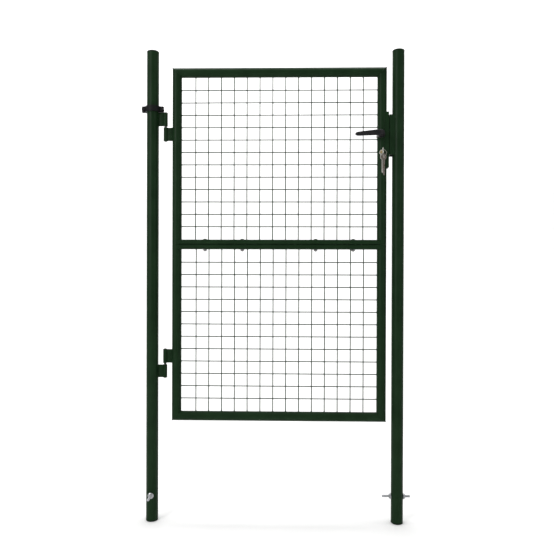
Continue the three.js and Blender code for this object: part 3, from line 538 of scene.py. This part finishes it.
split_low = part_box("lower_left_stile")[1].z
split_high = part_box("upper_left_stile")[0].z
left_x, right_x = STILE_X
make_frame_tube("upper_top_tube", "x", (0, 0, TOP_Z), (left_x, right_x), (-1, 1))
make_frame_tube("lower_bottom_tube", "x", (0, 0, BOTTOM_Z), (left_x, right_x), (1, -1))
make_frame_tube("upper_left_stile", "z", (left_x, 0, 0), (split_high, TOP_Z), (0, -1))
lock_stile = make_frame_tube(
    "upper_right_stile", "z", (right_x, 0, 0), (split_high, TOP_Z), (0, 1),
)
make_frame_tube("lower_left_stile", "z", (left_x, 0, 0), (BOTTOM_Z, split_low), (1, 0))
make_frame_tube("lower_right_stile", "z", (right_x, 0, 0), (BOTTOM_Z, split_low), (-1, 0))


def keyhole(clearance, steps=20):
    """Outline (x, z) of the lock cylinder: a round top on a straight tail."""
    radius = CYLINDER_R + clearance
    half = CYLINDER_TAIL_HALF + clearance
    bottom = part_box("cylinder_body")[0].z - clearance
    turn = math.degrees(math.acos(half / radius))
    round_top = arc(CYL.x, CYL.z, radius, -turn, 180 + turn, steps)
    return [(CYL.x - half, bottom), (CYL.x + half, bottom), *round_top]


case_low, case_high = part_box("lock_case")
carve(
    lock_stile,
    cutter(lambda bm: slab(bm, keyhole(0.5 * MM), "y", -0.05, 0.05)),
    hole_cutter("y", SPINDLE, SPINDLE_HOLE_R, 0.05, 32),
    cutter(lambda bm: slab(
        bm, rectangle(right_x, right_x + 0.03, -CASE_SLOT_HALF, CASE_SLOT_HALF),
        "z", case_low.z - 0.6 * MM, case_high.z + 0.6 * MM,
    )),
)


def make_mid_rail(node):
    """Flattened tube between the stiles, with both ends coped round them."""
    low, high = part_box(node)
    fit = TUBE_R + 0.1 * MM

    def outline(inset, corner):
        half = TUBE_R - inset
        bottom, top = low.z + inset, high.z - inset
        return [
            *arc(half - corner, bottom + corner, corner, -90, 0, 6),
            *arc(half - corner, top - corner, corner, 0, 90, 6),
            *arc(-half + corner, top - corner, corner, 90, 180, 6),
            *arc(-half + corner, bottom + corner, corner, 180, 270, 6),
        ]

    def ring(bm, points, stile_x, inward):
        verts = []
        for y, z in points:
            reach = math.sqrt(max(fit ** 2 - y ** 2, (2 * MM) ** 2))
            verts.append(bm.verts.new((stile_x + inward * reach, y, z)))
        return verts

    outer = outline(0, 6 * MM)
    inner = outline(TUBE_WALL, 4.5 * MM)
    bm = bmesh.new()
    rings = [
        ring(bm, outer, left_x, 1), ring(bm, outer, right_x, -1),
        ring(bm, inner, right_x, -1), ring(bm, inner, left_x, 1),
    ]
    skin(bm, rings, closed=True)
    return finish_mesh(f"{node}_coped", bm, GREEN, "leaf", [node], sharp=50)


make_mid_rail("upper_mid_rail")
make_mid_rail("lower_mid_rail")


def stile_seam(x, way, fit, z, half_angle, steps):
    """Points round the side of a stile that faces way, at a distance from its axis."""
    angles = [math.radians(-half_angle + 2 * half_angle * k / steps) for k in range(steps + 1)]
    return [(x + way * fit * math.cos(a), fit * math.sin(a), z) for a in angles]


def make_frame_welds():
    """Beads round the mitred corners and where the middle rails meet the stiles."""
    rails = (
        (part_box("upper_mid_rail")[1].z, -1),
        (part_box("lower_mid_rail")[0].z, 1),
    )
    bm = bmesh.new()
    for x, side in ((left_x, -1), (right_x, 1)):
        for z, rise in ((TOP_Z, 1), (BOTTOM_Z, -1)):
            seam = []
            for step in range(96):
                angle = TAU * step / 96
                reach = (TUBE_R + 0.1 * MM) * math.cos(angle)
                seam.append((x + side * reach, TUBE_R * math.sin(angle), z + rise * reach))
            bead(bm, seam, 1.25 * MM, closed=True)
        for face, lift in rails:
            seam = stile_seam(x, -side, TUBE_R + 0.3 * MM, face + lift * 0.3 * MM, 66, 40)
            bead(bm, seam, 1.3 * MM)
    finish_mesh("frame_weld_beads", bm, WELD, "leaf", sharp=60)


make_frame_welds()


# ---------- welded wire mesh ----------
WIRE_R = 2 * MM
UPRIGHTS, CROSSES = 14, 12
PITCH_X, PITCH_Z = 52 * MM, 50 * MM
WIRE_SHIFT = {"upper_mesh": 0.0, "lower_mesh": 3 * MM}


def wire_rows(low, high, steps=8):
    """Rows of one straight wire with a weld flare at each end."""
    flare = [(3.3, -0.4), (2.9, 0.4), (2.35, 1.3), (2.05, 2.6)]
    start = [(r * MM, low + a * MM) for r, a in flare]
    stop = [(r * MM, high - a * MM) for r, a in reversed(flare)]
    middle = [(WIRE_R, low + (high - low) * k / steps) for k in range(1, steps)]
    return [(0, low - 0.4 * MM), *start, *middle, *stop, (0, high + 0.4 * MM)]


def make_mesh_panel(node):
    low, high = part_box(node)
    back, front = high.y - WIRE_R, low.y + WIRE_R
    first_x = (low.x + high.x) / 2 + WIRE_SHIFT[node] - (UPRIGHTS - 1) * PITCH_X / 2
    first_z = (low.z + high.z) / 2 - (CROSSES - 1) * PITCH_Z / 2
    bm = bmesh.new()
    for column in range(UPRIGHTS):
        x = first_x + column * PITCH_X
        turned(bm, wire_rows(low.z, high.z), "z", (x, back, 0), 12)
        for row in range(CROSSES):
            z = first_z + row * PITCH_Z
            nugget = 2.5 * MM + 0.3 * MM * rng.random()
            turned(bm, [
                (0, -1.7 * MM), (nugget * 0.72, -1.2 * MM), (nugget, 0),
                (nugget * 0.72, 1.2 * MM), (0, 1.7 * MM),
            ], "y", (x, 0, z), 10)
    for row in range(CROSSES):
        z = first_z + row * PITCH_Z
        turned(bm, wire_rows(low.x, high.x), "x", (0, front, z), 12)
    finish_mesh(f"{node}_wires", bm, GREEN, "leaf", [node], sharp=55)


make_mesh_panel("upper_mesh")
make_mesh_panel("lower_mesh")


# ---------- hinges ----------
def make_hinge_bracket(node, tube_x, tube_r, body):
    """An eye round the pin with its plate, welded to a tube along both sides."""
    low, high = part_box(node)
    eye = (high.y - low.y) / 2
    bore = PIN_R + 0.4 * MM
    half = 2.5 * MM
    toward = 1 if tube_x > PIN.x else -1
    chamfer = 0.7 * MM
    bm = bmesh.new()
    turned(bm, [
        (bore + chamfer, low.z), (eye - chamfer, low.z), (eye, low.z + chamfer),
        (eye, high.z - chamfer), (eye - chamfer, high.z), (bore + chamfer, high.z),
        (bore, high.z - chamfer), (bore, low.z + chamfer),
    ], at=(PIN.x, 0, 0), segments=56, closed=True)
    near = PIN.x + toward * (eye - 1.2 * MM)
    far = tube_x - toward * math.sqrt(tube_r ** 2 - half ** 2)
    inset = 0.6 * MM
    ends = sorted((near, far))
    outline = rectangle(*ends, low.z + inset, high.z - inset)
    slab(bm, outline, "y", -half, half, 0.6 * MM)
    finish_mesh(f"{node}_eye", bm, GREEN, body, [node])
    bm = bmesh.new()
    for side in (-1, 1):
        seam_x = tube_x - toward * math.sqrt(tube_r ** 2 - (half + 1.2 * MM) ** 2)
        y = side * (half + 1.0 * MM)
        bead(bm, line(
            (seam_x - toward * 0.4 * MM, y, low.z + 1.5 * MM),
            (seam_x - toward * 0.4 * MM, y, high.z - 1.5 * MM), 90,
        ), 2.3 * MM)
        bead(bm, line(
            (PIN.x + toward * 7.6 * MM, y, low.z + 2 * MM),
            (PIN.x + toward * 7.6 * MM, y, high.z - 2 * MM), 80,
        ), 1.4 * MM)
    finish_mesh(f"{node}_weld", bm, WELD, body, sharp=60)


def make_pin(node):
    low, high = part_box(node)
    soft = 0.8 * MM
    groove = 2.2 * MM
    bm = bmesh.new()
    turned(bm, [
        (0, low.z), (PIN_R - soft, low.z), (PIN_R, low.z + soft), (PIN_R, high.z - groove - soft),
        (PIN_R - 0.7 * MM, high.z - groove - soft), (PIN_R - 0.7 * MM, high.z - groove),
        (PIN_R, high.z - groove), (PIN_R, high.z - soft), (PIN_R - soft, high.z),
        (PIN_R - 2 * MM, high.z + 0.2 * MM), (0, high.z + 0.25 * MM),
    ], at=(PIN.x, 0, 0), segments=48)
    finish_mesh(f"{node}_turned", bm, OILED, "posts", [node])


hinge_post_x = centre("left_post").x
for hinge in ("upper", "lower"):
    make_hinge_bracket(f"{hinge}_hinge_post_bracket", hinge_post_x, POST_R, "posts")
    make_hinge_bracket(f"{hinge}_hinge_leaf_bracket", left_x, TUBE_R, "leaf")
    make_pin(f"{hinge}_hinge_pin")


# ---------- fasteners ----------
def hex_rows(across, seat, way, height):
    """Rows of a hexagon standing on a seat, its corners turned down at both ends."""
    def face(limit, up):
        return (hexed(across, across / 2 * limit), seat + way * up)

    return [
        face(0.97, 0), face(1.04, 0.25 * MM), face(1.16, 0.9 * MM),
        face(1.16, height - 0.9 * MM), face(1.04, height - 0.3 * MM), face(0.97, height),
    ]


def hex_bolt(name, node, axis, at, across, seat, way, head, radius, tip, material, body):
    """A hex-headed bolt whose shank runs from the seat back to the tip, threaded near it."""
    bm = bmesh.new()
    top = seat + way * head
    turned(bm, [
        (0, seat), *hex_rows(across, seat, way, head),
        (across * 0.42, top + way * 0.1 * MM), (across * 0.38, top - way * 0.25 * MM),
        (0, top - way * 0.25 * MM),
    ], axis, at, 60)
    start = tip + way * 16 * MM
    turned(bm, [
        (0, seat - way * 0.05 * MM), (radius, seat - way * 0.05 * MM), (radius, start),
        *thread_rows(radius, M8_PITCH, start, tip + way * 0.8 * MM),
        (radius - 0.9 * MM, tip), (0, tip),
    ], axis, at, 28)
    return finish_mesh(name, bm, material, body, [node], sharp=40)


def hex_nut(name, node, axis, at, across, seat, way, height, bore, material, body):
    bm = bmesh.new()
    end = seat + way * height
    turned(bm, [
        (bore, seat + way * 0.8 * MM), (bore + 0.6 * MM, seat),
        *hex_rows(across, seat, way, height),
        (bore + 0.6 * MM, end), (bore, end - way * 0.8 * MM),
    ], axis, at, 60, closed=True)
    return finish_mesh(name, bm, material, body, [node], sharp=40)


# ---------- clamp collar ----------
def make_collar_half(word, side):
    node = f"collar_{word}_half"
    low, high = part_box(node)
    x = hinge_post_x
    inner, outer = POST_R + 0.15 * MM, POST_R + 5.3 * MM
    reach = high.x - x
    split, face = 0.5 * MM, 6.5 * MM
    corner = 2 * MM
    fillet = 15
    start = 8
    shell = arc(0, 0, outer, 180 + start + fillet, 360 - start - fillet, 36)
    right_ear = [
        (outer + 2.5 * MM, -face), *arc(reach - corner, -face + corner, corner, -90, 0, 5),
        (reach, -split),
    ]
    left_ear = [(-u, v) for u, v in reversed(right_ear)]
    bore = arc(0, 0, inner, 358.8, 181.2, 40)
    outline = [*left_ear, *shell, *right_ear, *bore]
    bm = bmesh.new()
    slab(bm, [(x + u, v * -side) for u, v in outline], "z", low.z, high.z, 0.7 * MM)
    finish_mesh(f"{node}_pressed", bm, CLAMP, "posts", [node], sharp=40)


make_collar_half("front", -1)
make_collar_half("back", 1)
for word in ("left", "right"):
    low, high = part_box(f"collar_bolt_{word}")
    spot = centre(f"collar_bolt_{word}")
    seat = low.y + 5.3 * MM
    hex_bolt(
        f"collar_bolt_{word}_m8", f"collar_bolt_{word}", "y", (spot.x, 0, spot.z), M8_ACROSS,
        seat, -1, 5.3 * MM, M8_R, high.y, CLAMP, "posts",
    )
    nut_low, nut_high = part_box(f"collar_nut_{word}")
    hex_nut(
        f"collar_nut_{word}_m8", f"collar_nut_{word}", "y", (spot.x, 0, spot.z), M8_ACROSS,
        nut_low.y, 1, nut_high.y - nut_low.y, M8_BORE, CLAMP, "posts",
    )


# ---------- ground anchors ----------
def lying(node, axis):
    """Both ends of a node that lies along x or y, and the point where its axis crosses zero."""
    low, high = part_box(node)
    middle = (low + high) / 2
    if axis == "y":
        return low.y, high.y, (middle.x, 0, middle.z)
    return low.x, high.x, (0, middle.y, middle.z)


def make_anchor_rod(node, axis):
    start, end, at = lying(node, axis)
    bm = bmesh.new()
    turned(bm, [
        (0, start), (M10_R - 1.1 * MM, start),
        *thread_rows(M10_R, M10_PITCH, start + 0.8 * MM, end - 0.8 * MM, 0.75 * MM),
        (M10_R - 1.1 * MM, end), (0, end),
    ], axis, at, 24)
    finish_mesh(f"{node}_m10", bm, ZINC, "posts", [node], sharp=60)


def make_flange_nut(node, axis, way):
    """A nut whose round toothed flange bears on the post; way points off the post."""
    low_end, high_end, at = lying(node, axis)
    seat = low_end if way > 0 else high_end
    end = seat + way * 8 * MM

    def teeth(angle):
        return seat + way * 0.25 * MM * (1 + math.cos(24 * angle))

    def hex_face(limit, up):
        return (hexed(M10_ACROSS, M10_ACROSS / 2 * limit), seat + way * up)

    bm = bmesh.new()
    turned(bm, [
        (M10_BORE, seat + way * 1.2 * MM), (M10_BORE + 1 * MM, seat + way * 0.4 * MM),
        (8 * MM, seat + way * 0.4 * MM), (11.6 * MM, teeth), (12 * MM, seat + way * 0.7 * MM),
        (12 * MM, seat + way * 1.4 * MM), (11 * MM, seat + way * 2 * MM),
        hex_face(1.16, 3.2 * MM), hex_face(1.16, 6.9 * MM), hex_face(1.05, 7.6 * MM),
        hex_face(0.96, 8 * MM), (M10_BORE + 0.8 * MM, end), (M10_BORE, end - way * 0.8 * MM),
    ], axis, at, 72, closed=True)
    finish_mesh(f"{node}_flanged", bm, ZINC, "posts", [node], sharp=40)


make_anchor_rod("left_anchor_rod", "y")
make_anchor_rod("right_anchor_rod", "x")
make_flange_nut("left_anchor_nut_front", "y", -1)
make_flange_nut("left_anchor_nut_back", "y", 1)
make_flange_nut("right_anchor_nut_inner", "x", -1)
make_flange_nut("right_anchor_nut_outer", "x", 1)


# ---------- bolts that join the two half frames ----------
def make_rail_bolt(index):
    node = f"rail_bolt_{index}"
    low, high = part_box(node)
    x = (low.x + high.x) / 2
    radius = (high.x - low.x) / 2
    seat = high.z - 4 * MM
    dome = [
        (radius * math.cos(math.radians(a)), seat + 0.8 * MM + 3.2 * MM * math.sin(math.radians(a)))
        for a in (6, 22, 38, 54, 70, 82)
    ]
    bm = bmesh.new()
    turned(bm, [
        (0, seat), (radius - 0.4 * MM, seat), (radius, seat + 0.5 * MM), *dome, (0, high.z),
    ], at=(x, 0, 0), segments=40)
    turned(bm, [
        (0, seat), (M8_R, seat), (M8_R, low.z + 14 * MM),
        *thread_rows(M8_R, M8_PITCH, low.z + 14 * MM, low.z + 0.6 * MM),
        (3.1 * MM, low.z), (0, low.z),
    ], at=(x, 0, 0), segments=28)
    finish_mesh(f"{node}_m8", bm, GREEN, "leaf", [node], sharp=40)
    nut_low, nut_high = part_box(f"rail_nut_{index}")
    hex_nut(
        f"rail_nut_{index}_m8", f"rail_nut_{index}", "z", (x, 0, 0), M8_ACROSS,
        nut_high.z, -1, nut_high.z - nut_low.z, M8_BORE, STEEL, "leaf",
    )


for bolt_index in (1, 2, 3, 4):
    make_rail_bolt(bolt_index)


# ---------- lock housing and keep ----------
refined("lock_channel", GREEN, "leaf", 0.9 * MM)
refined("keep", GREEN, "posts", 0.7 * MM)
refined("lock_forend", STEEL, "leaf", 0.35 * MM)
refined("lock_case", STEEL, "leaf", 0.3 * MM, 2)
refined("latch_bolt", ZINC, "latch", 0.6 * MM)
refined("deadbolt", ZINC, "deadbolt", 0.7 * MM)
refined("lock_follower", STEEL, "handle", 0.3 * MM, 2)
refined("spindle", ZINC, "handle", 0.4 * MM, 2)


def make_housing_welds():
    low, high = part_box("lock_channel")
    bm = bmesh.new()
    for side in (-1, 1):
        y = side * (high.y + 0.1 * MM)
        x = low.x + 0.2 * MM
        bead(bm, line((x, y, low.z + 2 * MM), (x, y, high.z - 2 * MM), 260), 1.5 * MM)
    for z in (low.z, high.z):
        bead(bm, stile_seam(right_x, 1, TUBE_R + 0.6 * MM, z, 62, 30), 1.3 * MM)
    finish_mesh("lock_channel_weld", bm, WELD, "leaf", sharp=60)
    low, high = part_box("keep")
    post_x = centre("right_post").x
    bm = bmesh.new()
    for y, out in ((low.y, -1), (high.y, 1)):
        reach = math.sqrt(POST_R ** 2 - y ** 2)
        x = post_x - reach - 0.6 * MM
        for z in (low.z + 14 * MM, (low.z + high.z) / 2 - 16 * MM, high.z - 46 * MM):
            bead(bm, line(
                (x, y + out * 0.2 * MM, z), (x, y + out * 0.2 * MM, z + 32 * MM), 60,
            ), 1.9 * MM)
    finish_mesh("keep_weld", bm, WELD, "posts", sharp=60)


make_housing_welds()


def make_forend_screws():
    """Two cross-headed screws in one piece, near the ends of the forend."""
    low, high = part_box("lock_forend")
    face = high.x
    heights = (low.z + 8 * MM, high.z - 8 * MM)
    bm = bmesh.new()
    for z in heights:
        turned(bm, [
            (0, face - 6 * MM), (1.9 * MM, face - 6 * MM), (1.9 * MM, face - 2 * MM),
            (3.7 * MM, face - 0.1 * MM), (3.5 * MM, face + 0.35 * MM),
            (2.2 * MM, face + 0.6 * MM), (0, face + 0.7 * MM),
        ], "x", (0, 0, z), 32)
    screws = finish_mesh("forend_screws", bm, ZINC, "leaf", sharp=40)
    slots = []
    for z in heights:
        for wide, tall in ((0.5 * MM, 2.4 * MM), (2.4 * MM, 0.5 * MM)):
            outline = rectangle(-wide, wide, z - tall, z + tall)
            slots.append(cutter(lambda bm, o=outline: slab(
                bm, o, "x", face - 1 * MM, face + 2 * MM,
            )))
    carve(screws, *slots)


make_forend_screws()


# ---------- handle ----------
def make_rose(word, side):
    """A round rose whose back edge follows the tube behind it."""
    node = f"{word}_rose"
    low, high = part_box(node)
    face = low.y if side < 0 else high.y
    radius = (high.z - low.z) / 2
    bore = SPINDLE_HOLE_R
    at = (SPINDLE.x, 0, SPINDLE.z)

    def seat(r):
        def at_angle(angle):
            x = SPINDLE.x + r * math.sin(angle)
            reach = (TUBE_R + 0.15 * MM) ** 2 - (x - right_x) ** 2
            return side * math.sqrt(max(reach, (4 * MM) ** 2))
        return at_angle

    bm = bmesh.new()
    turned(bm, [
        (bore, seat(bore)), (radius, seat(radius)), (radius, face - side * 2.2 * MM),
        (radius - 0.5 * MM, face - side * 1.0 * MM), (radius - 1.6 * MM, face - side * 0.3 * MM),
        (radius - 3.2 * MM, face), (bore + 0.4 * MM, face), (bore, face - side * 0.4 * MM),
    ], "y", at, 72, closed=True)
    finish_mesh(f"{node}_moulded", bm, BLACK, "leaf", [node], sharp=40)


def squircle(angle, power):
    """Unit superellipse: (side, up) at an angle."""
    c, s = math.cos(angle), math.sin(angle)
    return (
        math.copysign(abs(c) ** (2 / power), c),
        math.copysign(abs(s) ** (2 / power), s),
    )


def make_lever():
    """A cast lever: a round neck turning into a flat grip that droops to its tip."""
    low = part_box("front_lever")[0]
    side = -1
    neck, grip = 11.5, 6.4  # half widths in millimetres
    face = low.y
    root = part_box("front_rose")[0].y - 0.3 * MM
    grip_y = face - side * 6.5 * MM
    bend = 13 * MM
    tip_x = low.x
    drop = 7 * MM
    sections = []

    def add(point, along, wide, tall, power):
        sections.append((Vector(point), Vector(along).normalized(), wide, tall, power))

    out = Vector((0, side, 0))
    for share in (0.0, 0.02, 0.35, 0.8, 1.0):
        y = root + (grip_y - side * bend - root) * share
        swell = neck * MM - (0.9 * MM if share == 0.0 else 0) - 1.2 * MM * math.sin(math.pi * share)
        add((SPINDLE.x, y, SPINDLE.z), out, swell, swell, 2.0)
    for step in range(1, 9):
        angle = math.radians(90 * step / 8)
        blend = step / 8
        point = (
            SPINDLE.x - bend * (1 - math.cos(angle)),
            grip_y - side * bend * (1 - math.sin(angle)),
            SPINDLE.z,
        )
        along = (-math.sin(angle), side * math.cos(angle), 0)
        wide = neck * MM + (grip - neck) * MM * blend ** 0.8
        add(point, along, wide, neck * MM + 0.1 * MM * blend, 2.0 + 1.0 * blend)
    start_x = SPINDLE.x - bend
    length = start_x - tip_x
    for step in range(1, 15):
        share = step / 14
        x = start_x - (length - 1.5 * MM) * share
        z = SPINDLE.z - drop * share ** 1.25
        y = grip_y - side * 1.6 * MM * math.sin(math.pi * share)
        tall = (11.6 - 4.0 * share) * MM
        wide = (grip - 1.0 * share) * MM
        if share > 0.9:
            shrink = math.sqrt(max(0.25, 1 - ((share - 0.9) / 0.115) ** 2))
            tall *= shrink
            wide *= shrink
        add((x, y, z), (-1, 0, -0.07), wide, tall, 3.2)

    bm = bmesh.new()
    sides = 36
    rings = []
    up = Vector((0, 0, 1))
    for point, along, wide, tall, power in sections:
        across = up.cross(along).normalized()
        ring = []
        for step in range(sides):
            u, v = squircle(TAU * step / sides, power)
            ring.append(bm.verts.new(point + across * wide * u + up * tall * v))
        rings.append(ring)
    skin(bm, rings)
    bm.faces.new(list(reversed(rings[0])))
    bm.faces.new(rings[-1])
    lever = finish_mesh(
        "front_lever_cast", bm, BLACK, "handle", ["front_lever"], sharp=50,
    )
    smooth = lever.modifiers.new("smooth", "SUBSURF")
    smooth.levels = 1
    smooth.render_levels = 1
    bm = bmesh.new()
    turned(bm, [
        (0, 0), (2.4 * MM, 0), (2.4 * MM, 1.2 * MM), (1.1 * MM, 1.5 * MM), (0, 0.6 * MM),
    ], "z", (SPINDLE.x, root + side * 7 * MM, SPINDLE.z - 11.2 * MM), 24)
    finish_mesh("lever_grub_screw", bm, STEEL, "handle", sharp=40)


def make_spindle_cap():
    low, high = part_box("back_spindle_cap")
    radius = (high.z - low.z) / 2
    bm = bmesh.new()
    turned(bm, [
        (0, low.y), (radius, low.y), (radius, high.y - 1.6 * MM),
        (radius - 0.5 * MM, high.y - 0.6 * MM), (radius - 1.6 * MM, high.y),
        (3.2 * MM, high.y), (2.6 * MM, high.y - 0.7 * MM), (0, high.y - 0.7 * MM),
    ], "y", (SPINDLE.x, 0, SPINDLE.z), 48)
    finish_mesh(
        "back_spindle_cap_moulded", bm, BLACK, "handle", ["back_spindle_cap"],
        sharp=35,
    )


make_rose("front", -1)
make_rose("back", 1)
make_lever()
make_spindle_cap()


# ---------- lock cylinder ----------
def make_cylinder_body():
    low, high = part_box("cylinder_body")
    bm = bmesh.new()
    slab(bm, keyhole(0, 32), "y", low.y, high.y, 0.45 * MM)
    body = finish_mesh(
        "cylinder_body_profile", bm, NICKEL, "leaf", ["cylinder_body"], sharp=30,
    )
    bore = PLUG_R + 0.35 * MM
    reach = 12 * MM
    slot = rectangle(CYL.x - reach, CYL.x + reach, CYL.z - 10.1 * MM, CYL.z + reach)
    carve(
        body,
        hole_cutter("y", (CYL.x, 0, CYL.z), bore, 0.04, 48),
        cutter(lambda bm: slab(bm, slot, "y", -5.1 * MM, 5.1 * MM)),
    )


def make_plug():
    low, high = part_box("cylinder_plug")
    soft = 0.35 * MM
    cam = [
        (CYL.x - 3.6 * MM, CYL.z - 8.3 * MM), (CYL.x + 3.6 * MM, CYL.z - 8.3 * MM),
        (CYL.x + 4 * MM, CYL.z - 7 * MM), (CYL.x + 4 * MM, CYL.z - 3 * MM),
        (CYL.x - 4 * MM, CYL.z - 3 * MM), (CYL.x - 4 * MM, CYL.z - 7 * MM),
    ]
    bm = bmesh.new()
    turned(bm, [
        (0, low.y), (PLUG_R - soft, low.y), (PLUG_R, low.y + soft), (PLUG_R, high.y - soft),
        (PLUG_R - soft, high.y), (0, high.y),
    ], "y", (CYL.x, 0, CYL.z), 48)
    slab(bm, cam, "y", -4.5 * MM, 4.5 * MM, 0.4 * MM)
    plug = finish_mesh(
        "cylinder_plug_turned", bm, BRASS, "plug", ["cylinder_plug"], sharp=30,
    )
    half, tall = 1.25 * MM, 4.35 * MM
    keyway = rectangle(CYL.x - half, CYL.x + half, CYL.z - tall, CYL.z + tall)
    carve(plug, cutter(lambda bm: slab(bm, keyway, "y", low.y - 0.01, -2 * MM)))


make_cylinder_body()
make_plug()


# ---------- keys and ring ----------
def key_outline(bow_r, half, length, bites):
    """Outline of a key hanging down from its bow's centre: shoulder, blade and bites."""
    join_angle = math.degrees(math.asin(half / bow_r))
    points = arc(0, 0, bow_r, 270 + join_angle, 630 - join_angle, 44)
    shoulder = -bow_r - 2.5 * MM
    left = [(-half, -bow_r * 0.97), (-half, shoulder), (-half, -length + 2.5 * MM)]
    tip = [(-0.8 * MM, -length), (0.8 * MM, -length)]
    right = []
    start = -length + 3 * MM
    pitch = (shoulder - 3 * MM - start) / len(bites)
    for index, depth in enumerate(bites):
        z = start + pitch * index
        right += [
            (half, z), (half - depth * MM, z + pitch * 0.3),
            (half - depth * MM, z + pitch * 0.55), (half, z + pitch * 0.85),
        ]
    return [*points, *left, *tip, *right, (half, shoulder), (half, -bow_r * 0.97)]


def make_locked_key():
    low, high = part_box("key_in_lock")
    bow_r = (high.z - low.z) / 2
    bow_y = low.y + bow_r
    outline = key_outline(bow_r, KEY_HALF, high.y - bow_y, (1.2, 2.2, 0.8, 1.9, 1.3))
    turned_outline = [(bow_y - v, CYL.z + u) for u, v in outline]
    bm = bmesh.new()
    slab(bm, turned_outline, "x", low.x, high.x, 0.25 * MM)
    key = finish_mesh(
        "key_in_lock_cut", bm, NICKEL, "plug", ["key_in_lock"], sharp=30,
    )
    carve(key, hole_cutter("x", (CYL.x, bow_y, CYL.z), KEY_HOLE_R))


def make_spare_key(node, material, bites):
    """A spare key, turned a little out of the ring's plane so that it faces half sideways."""
    low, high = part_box(node)
    bow_r = 12 * MM
    middle = (low + high) / 2
    bow = Vector((middle.x, middle.y, high.z - bow_r))
    outline = key_outline(bow_r, KEY_HALF, bow.z - low.z, bites)
    half = 0.9 * MM
    bm = bmesh.new()
    slab(bm, outline, "y", -half, half, 0.25 * MM)
    key = finish_mesh(f"{node}_cut", bm, material, "bunch", [node], sharp=30)
    carve(key, hole_cutter("y", (0, 0, 0), KEY_HOLE_R))
    twist = math.radians(30)
    for vertex in key.data.vertices:
        x, y, z = vertex.co
        vertex.co = bow + Vector((
            x * math.cos(twist) - y * math.sin(twist),
            x * math.sin(twist) + y * math.cos(twist), z,
        ))
    key.data.update()


def make_ring():
    """A split ring: two coils of flat wire with a small step where they part."""
    low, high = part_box("key_ring")
    middle = (low + high) / 2
    wire = 0.5 * MM
    radius = (high.x - low.x) / 2 - 0.6 * MM
    turns, steps = 2, 144
    points = []
    for step in range(steps + 1):
        share = step / steps
        angle = TAU * turns * share + math.radians(200)
        shift = 0.52 * MM * math.tanh((share - 0.5) * 14)
        points.append((
            middle.x + radius * math.cos(angle), middle.y + shift,
            middle.z + radius * math.sin(angle),
        ))
    bm = bmesh.new()
    swept(bm, points, wire, 10)
    finish_mesh("key_ring_split", bm, NICKEL, "bunch", ["key_ring"], sharp=50)


make_locked_key()
make_ring()
make_spare_key("spare_key_short", NICKEL, (1.6, 0.7, 2.1, 1.1, 1.8))
make_spare_key("spare_key_long", DARK_KEY, (0.9, 1.9, 1.2, 2.3, 0.8))


# ---------- floor, light and camera ----------
def make_floor():
    """A pale floor that sweeps up into a backdrop behind the gate."""
    reach, front, back, rise, bend = 9.0, -6.0, 2.6, 6.0, 1.6
    drop = 0.5 * MM
    bm = bmesh.new()
    profile = [(front, 0.0), (back - bend, 0.0)]
    profile += [
        (back - bend + bend * math.sin(a), bend - bend * math.cos(a))
        for a in (math.radians(90 * k / 16) for k in range(1, 17))
    ]
    profile.append((back, rise))
    rows = []
    for x in (-reach, reach):
        rows.append([bm.verts.new((x, y, z - drop)) for y, z in profile])
    for step in range(len(profile) - 1):
        bm.faces.new((rows[0][step], rows[1][step], rows[1][step + 1], rows[0][step + 1]))
    mesh = bpy.data.meshes.new("floor")
    bm.to_mesh(mesh)
    bm.free()
    mesh.shade_smooth()
    floor = bpy.data.objects.new("floor", mesh)
    bpy.context.scene.collection.objects.link(floor)
    material, nodes, links, shader = new_material("pale_floor")
    coords = nodes.new("ShaderNodeTexCoord").outputs["Object"]
    cloud = noise(nodes, links, coords, 1.2, 3.0)
    tone = blend_colour(nodes, links, cloud, (0.80, 0.80, 0.80), (0.86, 0.86, 0.855))
    links.new(tone, shader.inputs["Base Color"])
    shader.inputs["Roughness"].default_value = 0.85
    floor.data.materials.append(material)


def make_light(name, position, target, width, height, power):
    data = bpy.data.lights.new(name, "AREA")
    data.shape = "RECTANGLE"
    data.size = width
    data.size_y = height
    data.energy = power
    light = bpy.data.objects.new(name, data)
    light.location = position
    aim = Vector(target) - Vector(position)
    light.rotation_euler = aim.to_track_quat("-Z", "Y").to_euler()
    bpy.context.scene.collection.objects.link(light)


def make_camera():
    """Level with the middle of the gate and a little over two metres away."""
    data = bpy.data.cameras.new("camera")
    data.sensor_width = 36
    data.lens = 35.3
    camera = bpy.data.objects.new("camera", data)
    camera.location = (0.055, -2.194, 0.994)
    pitch, roll, yaw = -0.19, 0.17, 1.18
    camera.rotation_euler = (math.radians(90 + pitch), 0, math.radians(yaw))
    camera.rotation_euler.rotate_axis("Z", math.radians(roll))
    bpy.context.scene.collection.objects.link(camera)
    bpy.context.scene.camera = camera


make_floor()
make_light("key_light", (-2.6, -2.9, 2.2), (0, 0, 1.0), 1.6, 2.8, 82)
make_light("fill_light", (2.8, -2.6, 1.8), (0, 0, 0.9), 2.0, 2.6, 18)
make_light("back_light", (0.0, 0.2, 4.4), (0, 2.5, 1.0), 5.0, 1.2, 160)
world = bpy.data.worlds.new("studio")
world.use_nodes = True
world.node_tree.nodes["Background"].inputs["Color"].default_value = (1.0, 1.0, 1.0, 1.0)
world.node_tree.nodes["Background"].inputs["Strength"].default_value = 0.55
bpy.context.scene.world = world
bpy.context.scene.view_settings.view_transform = "Standard"
make_camera()
